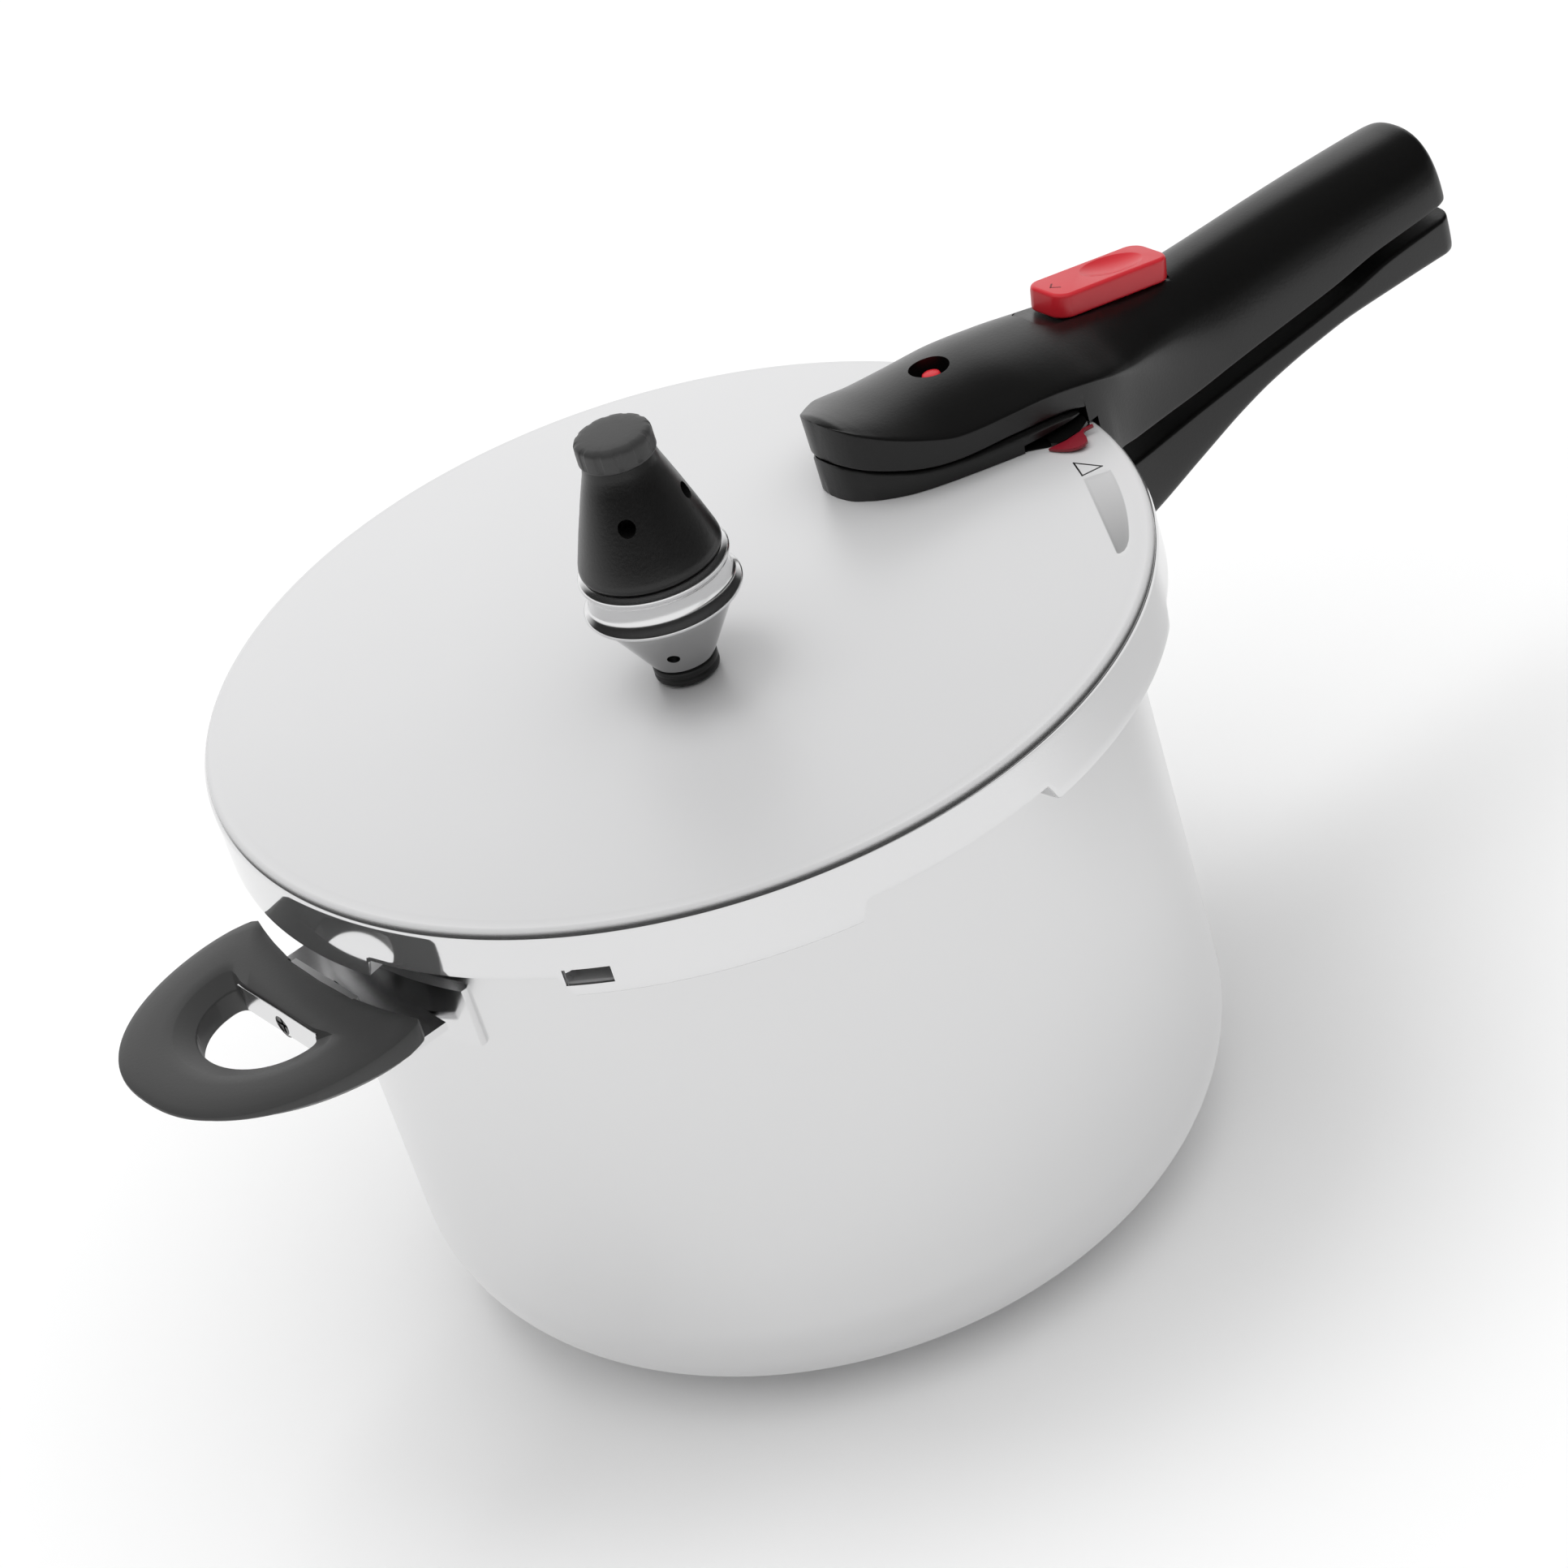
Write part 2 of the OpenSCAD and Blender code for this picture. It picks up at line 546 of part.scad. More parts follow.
// Regulator, built upwards from the lid in steps of its own height.
module at_vent(h) {
    translate([vent_x, vent_y, vent_z + h]) children();
}
module weight_core() {
    color("silver") at_vent(4.2) difference() {
        cylinder(r = 7, h = 29.8);
        translate([0, 0, -1]) cylinder(r = 3.75, h = 16.8);
    }
}
module weight_cone() {
    color("silver") at_vent(5) difference() {
        rotate_extrude() polygon([[7.05, 0], [7.9, 0], [8.3, 0.5], [17.2, 15.6], [17.6, 17], [7.05, 17]]);
        for (a = [-118, -28, 62, 152])
            rotate([0, 0, a]) translate([6, 0, 4.6]) rotate([0, 90, 0]) cylinder(r = 1.5, h = 14);
    }
}
module weight_ring() {
    color("silver") at_vent(22) rotate_extrude()
        polygon([[7.05, 0], [18.8, 0], [19.7, 0.6], [19.9, 1.2], [19.5, 1.8], [18.6, 2.6], [17.8, 4.2],
                 [17.7, 8.2], [18.2, 9.2], [18.9, 9.8], [19, 10.5], [18.6, 11.2], [17.9, 12], [7.05, 12]]);
}
module weight_hood() {
    color("dimgray") at_vent(34) difference() {
        rotate_extrude() polygon([[0, 0], [17.2, 0], [17.8, 0.6], [17.8, 1.8], [9.7, hood_h - 1],
            [9.3, hood_h], [0, hood_h]]);
        for (a = [-133, -43, 47, 137])
            rotate([0, 0, a]) translate([7.6, 0, 12]) rotate([0, 90, 0]) cylinder(r = 2.3, h = 14);
    }
}
module weight_cap() {
    color("dimgray") at_vent(34 + hood_h) difference() {
        rotate_extrude() polygon([[0, 0], [9.2, 0], [9.7, 0.7], [9.7, 6.9], [8.9, 7.9], [6.4, 8.3], [0, 8.3]]);
        for (a = [0:30:330])
            rotate([0, 0, a]) translate([10.75, 0, 1.6]) cylinder(r = 1.5, h = 14);
    }
}
module weight_foot() {
    color("dimgray") at_vent(0.8) tube(8.2, 7.05, 0, 4.2);
}

pot_body();
base_core();
base_cap();
long_bracket();
lower_handle();
lower_screw();
helper_bracket();
helper_handle();
helper_screw();
seal_ring();
lid();
lid_bracket();
handle_base();
handle_shell();
handle_screw_front();
handle_screw_rear();
float_housing();
float_pin();
float_seal();
vent_pipe();
vent_washer();
vent_nut();
vent_filter();
slide_button();
lock_bar();
weight_core();
weight_cone();
weight_ring();
weight_hood();
weight_cap();
weight_foot();
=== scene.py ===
import json
import math
import bpy
from mathutils import Matrix, Vector


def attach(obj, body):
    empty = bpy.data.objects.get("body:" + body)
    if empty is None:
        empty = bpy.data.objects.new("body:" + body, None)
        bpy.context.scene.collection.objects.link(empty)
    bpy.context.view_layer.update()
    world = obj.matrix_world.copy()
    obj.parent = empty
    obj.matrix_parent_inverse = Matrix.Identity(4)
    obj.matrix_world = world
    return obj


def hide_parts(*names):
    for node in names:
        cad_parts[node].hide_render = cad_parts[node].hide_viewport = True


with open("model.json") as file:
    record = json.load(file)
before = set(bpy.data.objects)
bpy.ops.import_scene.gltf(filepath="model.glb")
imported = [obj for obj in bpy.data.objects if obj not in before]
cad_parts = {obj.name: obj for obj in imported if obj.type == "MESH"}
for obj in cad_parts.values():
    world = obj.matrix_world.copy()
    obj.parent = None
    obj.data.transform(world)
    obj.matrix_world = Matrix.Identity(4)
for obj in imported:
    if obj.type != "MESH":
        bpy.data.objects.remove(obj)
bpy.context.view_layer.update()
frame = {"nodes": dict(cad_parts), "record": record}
nodes = frame["nodes"]
mm = 0.001


def unselectAll():
    if bpy.context.object and bpy.context.object.mode == "EDIT":
        bpy.ops.object.mode_set(mode="OBJECT")
    bpy.ops.object.select_all(action="DESELECT")


def makeActive(obj):
    unselectAll()
    obj.select_set(True)
    bpy.context.view_layer.objects.active = obj


def editAll(obj):
    makeActive(obj)
    bpy.ops.object.mode_set(mode="EDIT")
    bpy.ops.mesh.select_all(action="SELECT")


def leaveEdit():
    bpy.ops.object.mode_set(mode="OBJECT")


def seedPoint(name, x, y, z):  # one vertex, in edit mode, ready to extrude
    unselectAll()
    bpy.ops.mesh.primitive_plane_add(size=2 * mm, location=(0, 0, 0))
    obj = bpy.context.object
    obj.name = obj.data.name = name
    bpy.ops.object.mode_set(mode="EDIT")
    bpy.ops.mesh.select_all(action="SELECT")
    bpy.ops.mesh.merge(type="CENTER")
    bpy.ops.transform.translate(value=(x * mm, y * mm, z * mm))
    return obj


def lathe(name, profile, steps=160, centre=(0, 0)):  # profile: (radius, height) in mm
    obj = seedPoint(name, profile[0][0], 0, profile[0][1])
    for (r0, z0), (r1, z1) in zip(profile, profile[1:]):
        bpy.ops.mesh.extrude_vertices_move(
            TRANSFORM_OT_translate={"value": ((r1 - r0) * mm, 0, (z1 - z0) * mm)})
    bpy.ops.mesh.select_all(action="SELECT")
    bpy.ops.mesh.spin(steps=steps, angle=math.tau, center=(0, 0, 0), axis=(0, 0, 1))
    bpy.ops.mesh.select_all(action="SELECT")
    bpy.ops.mesh.remove_doubles(threshold=0.002 * mm)
    bpy.ops.mesh.normals_make_consistent(inside=False)
    bpy.ops.transform.translate(value=(centre[0] * mm, centre[1] * mm, 0))
    leaveEdit()
    return obj


def addModifier(obj, kind, **settings):
    mod = obj.modifiers.new(kind.title(), kind)
    for key, value in settings.items():
        setattr(mod, key, value)
    makeActive(obj)
    bpy.ops.object.modifier_apply(modifier=mod.name)


def smoothBy(obj, degrees=35):
    makeActive(obj)
    bpy.ops.object.shade_smooth_by_angle(angle=math.radians(degrees))


def dress(obj, material):
    obj.data.materials.clear()
    obj.data.materials.append(material)


def connect(tree, socket, value):  # a plain value, or a link from another socket
    if isinstance(value, Sock):
        tree.links.new(value.socket, socket)
    else:
        socket.default_value = value


class Sock:  # wraps a node socket, so shader maths reads as Python
    def __init__(self, tree, socket):
        self.tree, self.socket = tree, socket

    def _do(self, kind, a, b):
        node = self.tree.nodes.new("ShaderNodeMath")
        node.operation = kind
        for socket, value in zip(node.inputs, (a, b)):
            connect(self.tree, socket, value)
        return Sock(self.tree, node.outputs[0])

    def __add__(self, other): return self._do("ADD", self, other)
    def __radd__(self, other): return self._do("ADD", other, self)
    def __sub__(self, other): return self._do("SUBTRACT", self, other)
    def __rsub__(self, other): return self._do("SUBTRACT", other, self)
    def __mul__(self, other): return self._do("MULTIPLY", self, other)
    def __pow__(self, other): return self._do("POWER", self, other)


class Finish:  # one material, its Principled shader and a method that adds any node
    def __init__(self, name):
        self.material = bpy.data.materials.new(name)
        self.material.use_nodes = True
        self.tree = self.material.node_tree
        self.shader = self.tree.nodes["Principled BSDF"]

    def add(self, kind, settings=None, out=0, **inputs):  # i0, i1 and so on are inputs by number
        node = self.tree.nodes.new("ShaderNode" + kind)
        for key, value in (settings or {}).items():
            setattr(node, key, value)
        for key, value in inputs.items():
            byNumber = key[0] == "i" and key[1:].isdigit()
            connect(self.tree, node.inputs[int(key[1:]) if byNumber else key.replace("_", " ")], value)
        return Sock(self.tree, node.outputs[out])

    def where(self):
        return self.add("TexCoord", out=3)

    def noise(self, scale, detail=2.0, rough=0.5, vector=None):
        spot = vector or self.where()
        return self.add("TexNoise", Vector=spot, Scale=scale, Detail=detail, Roughness=rough)

    def blend(self, factor, a, b):  # colours
        return self.add("Mix", {"data_type": "RGBA"}, out=2, i0=factor, i6=a, i7=b)

    def give(self, **sockets):
        for key, value in sockets.items():
            connect(self.tree, self.shader.inputs[key.replace("_", " ")], value)

    def bump(self, height, strength, distance):
        self.give(Normal=self.add("Bump", Strength=strength, Distance=distance, Height=height))


def softStep(tree, value, low, high, start=0.0, end=1.0):  # goes softly from start to end
    node = tree.nodes.new("ShaderNodeMapRange")
    node.interpolation_type = "SMOOTHSTEP"
    levels = {"Value": value, "From Min": low, "From Max": high, "To Min": start, "To Max": end}
    for key, level in levels.items():
        connect(tree, node.inputs[key], level)
    return Sock(tree, node.outputs[0])


# camera: place and target in metres, roll in degrees
viewCamera = {"place": (-0.4891, -0.9026, 0.7900), "looksAt": (0.0270, -0.0183, 0.1000), "roll": 17.26,
              "lens": 109.766, "sensor": 36, "shift": (-0.05512, 0.02279), "clip": (0.01, 50)}


def makeCamera():
    data = bpy.data.cameras.new("camera")
    cam = bpy.data.objects.new("camera", data)
    bpy.context.scene.collection.objects.link(cam)
    spot, target = Vector(viewCamera["place"]), Vector(viewCamera["looksAt"])
    turn = (target - spot).to_track_quat("-Z", "Y").to_matrix()
    turn = turn @ Matrix.Rotation(math.radians(-viewCamera["roll"]), 3, "Z")
    cam.matrix_world = Matrix.Translation(spot) @ turn.to_4x4()
    data.lens, data.sensor_width = viewCamera["lens"], viewCamera["sensor"]
    data.shift_x, data.shift_y = viewCamera["shift"]
    data.clip_start, data.clip_end = viewCamera["clip"]
    bpy.context.scene.camera = cam


# light and floor, in metres: what reflections see is set apart from what lights the object, and the floor's
# grey and black patches and glow, seen only by glossy rays, are painted reflections on the steel
studio = {"plain": 1.43, "plainHeights": (0.30, 0.80), "viewer": (-0.476, -0.879), "farSide": 1.08,
          "nearSide": 0.02, "darkBehind": (-0.93, -0.58), "darkHeights": (-0.04, 0.05),
          "floor": 12, "floorWhite": 0.93, "floorGloss": 0.58, "floorGlow": 0.33, "floorRough": 0.9,
          "greyWay": (0.99, -0.10, 0), "greyFrom": (0.17, 0.33), "greyShare": 0.25, "greyEnd": (0.36, 0.42),
          "greySide": (0, 0.06), "blackWay": (0.87, -0.49, 0), "blackFrom": (0.8, 1.3),
          "lampPower": 11, "lampPlace": (-0.25, 0.55, 2.4), "lampAim": (0, 0, 0.1), "lampSize": 1.0}


def makeWorld():
    world = bpy.data.worlds.new("studio")
    bpy.context.scene.world = world
    world.use_nodes = True
    tree = world.node_tree
    back = tree.nodes["Background"]
    coord = tree.nodes.new("ShaderNodeTexCoord")
    parts = tree.nodes.new("ShaderNodeSeparateXYZ")
    tree.links.new(coord.outputs["Generated"], parts.inputs[0])
    x, y, z = (Sock(tree, out) for out in parts.outputs)
    near = x * studio["viewer"][0] + y * studio["viewer"][1]  # 1 toward the viewer, -1 behind the object
    dark = softStep(tree, near, *studio["darkBehind"]) * softStep(tree, z, *studio["darkHeights"])
    mirrored = studio["farSide"] + dark * (studio["nearSide"] - studio["farSide"])
    path = tree.nodes.new("ShaderNodeLightPath")
    camera, glossy = (Sock(tree, path.outputs[name]) for name in ("Is Camera Ray", "Is Glossy Ray"))
    overhead = softStep(tree, z, *studio["plainHeights"])
    strength = camera + glossy * mirrored + (1 - camera) * (1 - glossy) * overhead * studio["plain"]
    back.inputs["Color"].default_value = (1, 1, 1, 1)
    connect(tree, back.inputs["Strength"], strength)


def makeFloor():
    unselectAll()
    bpy.ops.mesh.primitive_plane_add(size=studio["floor"], location=(0, 0, 0))
    floor = bpy.context.object
    floor.name = "floor"
    look = Finish("floorPaper")

    def toward(direction):
        return look.add("VectorMath", {"operation": "DOT_PRODUCT"}, out=1, i0=look.where(), i1=direction)

    def greys(level):
        return look.blend(level, (0, 0, 0, 1), (1, 1, 1, 1))

    # painted reflection: grey and black patches and a glow on the floor, seen only by glossy rays, paint dark
    # bands and brightness into the pot's steel
    glossy = look.add("LightPath", out="Is Glossy Ray")
    side = toward(studio["greyWay"])
    grey = (softStep(look.tree, side, *studio["greyFrom"], 0.0, studio["greyShare"])
            * softStep(look.tree, toward((0, 1, 0)), *studio["greySide"], 1.0, 0.0)
            * softStep(look.tree, side, *studio["greyEnd"], 1.0, 0.0))
    black = softStep(look.tree, toward(studio["blackWay"]), *studio["blackFrom"])
    tone = (1 - grey) * (1 - black) * glossy
    look.give(Base_Color=greys(tone * studio["floorGloss"] + (1 - glossy) * studio["floorWhite"]),
              Emission_Color=greys(tone * studio["floorGlow"]), Roughness=studio["floorRough"])
    look.shader.inputs["Emission Strength"].default_value = 1
    look.shader.inputs["Specular IOR Level"].default_value = 0
    dress(floor, look.material)


def makeLamp():
    lamp = bpy.data.lights.new("key", "AREA")
    lamp.energy, lamp.size = studio["lampPower"], studio["lampSize"]
    obj = bpy.data.objects.new("key", lamp)
    obj.visible_glossy = False
    bpy.context.scene.collection.objects.link(obj)
    spot = Vector(studio["lampPlace"])
    aim = (Vector(studio["lampAim"]) - spot).to_track_quat("-Z", "Y").to_matrix().to_4x4()
    obj.matrix_world = Matrix.Translation(spot) @ aim


makeCamera()
makeFloor()
makeWorld()
makeLamp()
bpy.context.scene.view_settings.view_transform = "Standard"
print("camera and studio ready")


def steelFinish(name, grey=0.80, rough=0.10, streak=0.02, smear=(30, 30, 30)):
    look = Finish(name)
    grain = look.add("Mapping", Vector=look.where(), Scale=smear)
    fine = look.noise(60.0, 4.0, 0.6, grain)
    broad = look.noise(7.0)
    dark, pale = (grey, grey, grey * 1.005, 1), (grey * 1.04, grey * 1.04, grey * 1.045, 1)
    look.give(Metallic=1.0, Roughness=fine * streak + (rough - streak / 2),
              Base_Color=look.blend(broad, dark, pale))
    look.bump(fine, 0.02, 0.00002)
    return look.material


# the crescent pressed into the lid beside the handle, in mm, and the painted shade that darkens the lid's
# colour inside it, more toward its far end
recess = {"turn": -29.6, "chord": 109.0, "rimR": 116.7, "start": -5.6, "slant": -0.2, "end": 32.9,
          "bulge": 0.38, "middle": 109.6, "paintedShade": (0.85, 0.43)}
# the lid's satin disc, up to this radius in metres, and its polished edge
lidLook = {"satinEdge": (0.1222, 0.1231), "satin": 0.35, "polish": 0.055, "grey": (0.74, 0.78), "metal": 0.92,
           "satinMetal": 0.6}


def lidFinish(name):
    look = Finish(name)
    parts = look.add("SeparateXYZ", Vector=look.where())
    x, y = parts, Sock(look.tree, parts.socket.node.outputs[1])
    r = (x * x + y * y) ** 0.5
    turn = math.radians(recess["turn"])
    along = x * math.cos(turn) + y * math.sin(turn)
    back = x * math.sin(turn) - y * math.cos(turn)
    off = along - recess["middle"] * mm
    startAt = back - (along - recess["chord"] * mm) * recess["slant"]
    endAt = back + off * off * (recess["bulge"] / mm)

    def edge(value, low, high, start, end):
        return softStep(look.tree, value, low * mm, high * mm, start, end)

    # painted shade: the lid's colour is darkened inside the pressed crescent, lighter at its start and darker
    # at its end
    inRecess = (edge(along, recess["chord"] - 0.1, recess["chord"] + 0.3, 0.0, 1.0)
                * edge(r, recess["rimR"] - 0.3, recess["rimR"] + 0.1, 1.0, 0.0)
                * edge(startAt, recess["start"], recess["start"] + 0.5, 0.0, 1.0)
                * edge(endAt, recess["end"] - 0.5, recess["end"], 1.0, 0.0))
    first, last = recess["paintedShade"]
    tone = look.add("MapRange", Value=back, From_Min=recess["start"] * mm, From_Max=recess["end"] * mm,
                    To_Min=first, To_Max=last)
    shade = 1 + inRecess * (tone - 1)
    broad = look.noise(9.0)
    fine = look.noise(900.0, 3.0, 0.6)
    satin = softStep(look.tree, r, *lidLook["satinEdge"], 1.0, 0.0)
    dark, pale = lidLook["grey"]
    grey = look.blend(broad, (dark, dark, dark + 0.005, 1), (pale, pale, pale + 0.005, 1))
    look.give(Metallic=lidLook["metal"] - satin * lidLook["satinMetal"],
              Base_Color=look.blend(shade, (0, 0, 0, 1), grey),
              Roughness=satin * (fine * 0.05 + lidLook["satin"]) + lidLook["polish"])
    look.bump(fine, 0.015, 0.00002)
    return look.material


def plasticFinish(name, dark, pale, rough, grain):
    look = Finish(name)
    pits = look.noise(1100.0, 2.0, 0.6)
    broad = look.noise(18.0, 3.0, 0.55)
    look.give(Base_Color=look.blend(broad, (*dark, 1), (*pale, 1)),
              Roughness=broad * 0.08 + pits * 0.06 + (rough - 0.07))
    look.bump(pits, grain, 0.00006)
    return look.material


finishes = {
    "polished_steel": steelFinish("polishedSteel", 0.71, 0.20, 0.03, (1, 1, 0.1)),
    "lid_steel": lidFinish("lidSteel"),
    "sole_steel": steelFinish("soleSteel", 0.76, 0.22, 0.08, (1, 1, 1)),
    "bracket_steel": steelFinish("bracketSteel", 0.72, 0.2, 0.06, (1, 8, 1)),
    "screw_steel": steelFinish("screwSteel", 0.62, 0.28, 0.06),
    "weight_steel": steelFinish("weightSteel", 0.80, 0.16, 0.02, (1, 1, 12)),
    "coneSteel": steelFinish("coneSteel", 0.50, 0.14, 0.02, (1, 1, 12)),
    "core_aluminium": steelFinish("coreAluminium", 0.75, 0.4, 0.1),
    "black_plastic": plasticFinish("blackPlastic", (0.0035, 0.0034, 0.0034), (0.0055, 0.0053, 0.0052),
                                   0.3, 0.5),
    "mattPlastic": plasticFinish("mattPlastic", (0.040, 0.040, 0.040), (0.052, 0.052, 0.052), 0.42, 0.4),
    "seal_rubber": plasticFinish("sealRubber", (0.03, 0.03, 0.032), (0.045, 0.045, 0.046), 0.6, 0.1),
    "red_plastic": plasticFinish("redPlastic", (0.56, 0.018, 0.028), (0.62, 0.022, 0.034), 0.3, 0.04),
    # painted shade: a darker copy of the red plastic, for the catch wing that lies in shade under the lid's
    # rim
    "redInPaintedShade": plasticFinish("redInPaintedShade", (0.20, 0.008, 0.018), (0.25, 0.010, 0.022), 0.4, 0.04),
    "redDark": plasticFinish("redDark", (0.16, 0.006, 0.01), (0.2, 0.008, 0.012), 0.5, 0.04),
}

slotOf = {part["node"]: part["material_slot"] for part in frame["record"]["subparts"]}
for nodeName, obj in nodes.items():
    dress(obj, finishes[slotOf[nodeName]])
print("finishes given to the CAD nodes")


def clamp01(t):
    return max(0.0, min(1.0, t))


def ease(t):
    t = clamp01(t)
    return t * t * (3 - 2 * t)


def smoothAt(table, x):  # a value along x from (x, value) rows, without overshoot
    if x <= table[0][0]:
        return table[0][1]
    if x >= table[-1][0]:
        return table[-1][1]
    i = max(k for k in range(len(table) - 1) if table[k][0] <= x)

    def slope(k):
        return (table[k + 1][1] - table[k][1]) / (table[k + 1][0] - table[k][0])

    def tangent(k):
        if k == 0 or k == len(table) - 1:
            return slope(min(k, len(table) - 2))
        a, b = slope(k - 1), slope(k)
        return 0 if a * b <= 0 else 2 * a * b / (a + b)

    h = table[i + 1][0] - table[i][0]
    t = (x - table[i][0]) / h
    return ((2 * t ** 3 - 3 * t * t + 1) * table[i][1] + (t ** 3 - 2 * t * t + t) * h * tangent(i)
            + (3 * t * t - 2 * t ** 3) * table[i + 1][1] + (t ** 3 - t * t) * h * tangent(i + 1))


def softLoop(points, samples):  # a closed smooth curve that follows its control points
    out = []
    for s in range(samples):
        t = s * len(points) / samples
        i, f = int(t), t - int(t)
        weight = ((1 - f) ** 3, 3 * f ** 3 - 6 * f * f + 4, -3 * f ** 3 + 3 * f * f + 3 * f + 1, f ** 3)
        near = [points[(i + k - 1) % len(points)] for k in range(4)]
        out.append(tuple(sum(w * p[d] for w, p in zip(weight, near)) / 6 for d in range(2)))
    return out


def bothSides(half):  # a half section of (y, z), mirrored into a closed one
    return half + [(-y, z) for y, z in reversed(half)]


def loft(name, rings):  # closed rings of (x, y, z): a disc extruded ring by ring, then shaped
    count = len(rings[0])
    unselectAll()
    bpy.ops.mesh.primitive_circle_add(vertices=count, radius=1, fill_type="NGON")
    obj = bpy.context.object
    obj.name = obj.data.name = name
    editAll(obj)
    for _ in rings[1:]:
        bpy.ops.mesh.extrude_region_move(TRANSFORM_OT_translate={"value": (0, 0, 1)})
    leaveEdit()
    for vertex in obj.data.vertices:
        spot = round(math.atan2(vertex.co.y, vertex.co.x) / math.tau * count) % count
        vertex.co = Vector(rings[round(vertex.co.z)][spot]) * mm
    editAll(obj)
    bpy.ops.mesh.normals_make_consistent(inside=False)
    leaveEdit()
    return obj


def ringLoft(name, sections):  # closed sections round a hole: a torus shaped point by point
    around, across = len(sections), len(sections[0])
    unselectAll()
    bpy.ops.mesh.primitive_torus_add(major_segments=around, minor_segments=across,
                                     major_radius=10, minor_radius=1)
    obj = bpy.context.object
    obj.name = obj.data.name = name
    for vertex in obj.data.vertices:
        x, y, z = vertex.co
        i = round(math.atan2(y, x) / math.tau * around) % around
        j = round(math.atan2(z, math.hypot(x, y) - 10) / math.tau * across) % across
        vertex.co = Vector(sections[i][j]) * mm
    editAll(obj)
    bpy.ops.mesh.normals_make_consistent(inside=False)
    leaveEdit()
    return obj


def slab(name, outline, low, high):  # an outline of (x, y) raised between two heights
    return loft(name, [[(x, y, low) for x, y in outline], [(x, y, high) for x, y in outline]])


def cutter(kind, middle, size, turn=(0, 0, 0), corners=48):
    unselectAll()
    where = tuple(p * mm for p in middle)
    if kind == "box":
        bpy.ops.mesh.primitive_cube_add(size=1, location=where, rotation=turn)
        scale = tuple(s * mm for s in size)
    elif kind == "sphere":
        bpy.ops.mesh.primitive_uv_sphere_add(radius=1, segments=corners, ring_count=corners // 2,
                                             location=where)
        scale = tuple(s * mm for s in size)
    elif kind == "cone":
        bpy.ops.mesh.primitive_cone_add(radius1=size[0] * mm, radius2=size[1] * mm, depth=size[2] * mm,
                                        vertices=corners, location=where)
        scale = (1, 1, 1)
    else:
        bpy.ops.mesh.primitive_cylinder_add(radius=1, depth=1, vertices=corners,
                                            location=where, rotation=turn)
        scale = (size[0] * mm, size[0] * mm, size[1] * mm)
    obj = bpy.context.object
    obj.scale = scale
    bpy.ops.object.transform_apply(location=True, rotation=True, scale=True)
    return obj


def carve(obj, *tools):
    for tool in tools:
        addModifier(obj, "BOOLEAN", operation="DIFFERENCE", object=tool, solver="EXACT")
        bpy.data.objects.remove(tool)


def rounded(obj, width, segments=3, degrees=30):
    addModifier(obj, "BEVEL", width=width * mm, segments=segments, limit_method="ANGLE",
                angle_limit=math.radians(degrees), harden_normals=False)


def bends(obj, shift):  # moves every vertex by a rule written in mm
    for vertex in obj.data.vertices:
        vertex.co = Vector(shift(*(vertex.co / mm))) * mm


def place(obj, body, material, *replaced, degrees=32):  # its finish, its body and the nodes it stands for
    dress(obj, finishes[material])
    smoothBy(obj, degrees)
    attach(obj, body)
    if replaced:
        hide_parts(*replaced)


# pot: shell with its lugs, and the sole under it; mm and degrees from here on
pot = {"wallR": 110, "cornerR": 33, "sheet": 1.6, "gapR": 112.6, "soleZ": 6.4, "bowlZ": 8, "steps": 480,
       "lugHalf": 12, "lugEdge": 1.0, "lugAzimuth": -5.4,
       "rim": [(110, 60), (110, 90), (110, 120), (110, 145), (110, 150.5), (110.2, 152.6), (110.8, 154.4),
               (111.6, 155.5), (112.6, 156), (116, 156), (118.7, 156.05), (119.3, 156.4), (119.5, 157),
               (119.5, 158), (119.3, 158.6), (118.7, 158.95), (116, 159), (112.6, 159), (110.4, 159),
               (109.4, 158.9), (108.7, 158.4), (108.4, 157.4), (108.4, 150), (108.4, 120), (108.4, 80),
               (108.4, 45)],  # up the wall, round the flange and down the inside
       "soleUnder": [(0, 0), (30, 0), (60, 0), (76, 0)],
       "soleInside": [(82, 6.4), (82, 1.2), (40, 1.2), (0, 1.2)],
       "soleSteps": 240}


def arcPoints(cx, cz, r, start, end, count):
    angles = [math.radians(start + (end - start) * i / count) for i in range(count + 1)]
    return [(cx + r * math.cos(a), cz + r * math.sin(a)) for a in angles]


def awayFrom(azimuth, first, step=60):  # degrees from the nearest of several evenly spaced azimuths
    return abs((azimuth - first + step / 2) % step - step / 2)


def makePot():
    corner, inner = pot["cornerR"], pot["cornerR"] - pot["sheet"]
    flat = pot["wallR"] - corner
    outAngle = -math.degrees(math.asin((corner - pot["soleZ"]) / corner))
    inAngle = -math.degrees(math.asin((corner - pot["bowlZ"]) / inner))
    profile = [(r, pot["soleZ"]) for r in (0, 40, 84)]
    profile += arcPoints(flat, corner, corner, outAngle, 0, 22) + pot["rim"]
    profile += arcPoints(flat, corner, inner, 0, inAngle, 18) + [(r, pot["bowlZ"]) for r in (70, 35, 0)]
    shell = lathe("potShell", profile, steps=pot["steps"])

    def lugs(x, y, height):  # cuts the flange back between the lugs
        r, azimuth = math.hypot(x, y), math.degrees(math.atan2(y, x))
        gap = ease((awayFrom(azimuth, pot["lugAzimuth"]) - pot["lugHalf"]) / pot["lugEdge"])
        if r > pot["gapR"] and gap > 0:
            k = (r + (pot["gapR"] - r) * gap) / r
            return x * k, y * k, height
        return x, y, height

    bends(shell, lugs)
    place(shell, "pot", "polished_steel", "pot_body")
    bottom = pot["soleUnder"] + arcPoints(flat, corner, corner, -90, outAngle, 8) + pot["soleInside"]
    place(lathe("sole", bottom, steps=pot["soleSteps"]), "pot", "sole_steel", "base_cap")


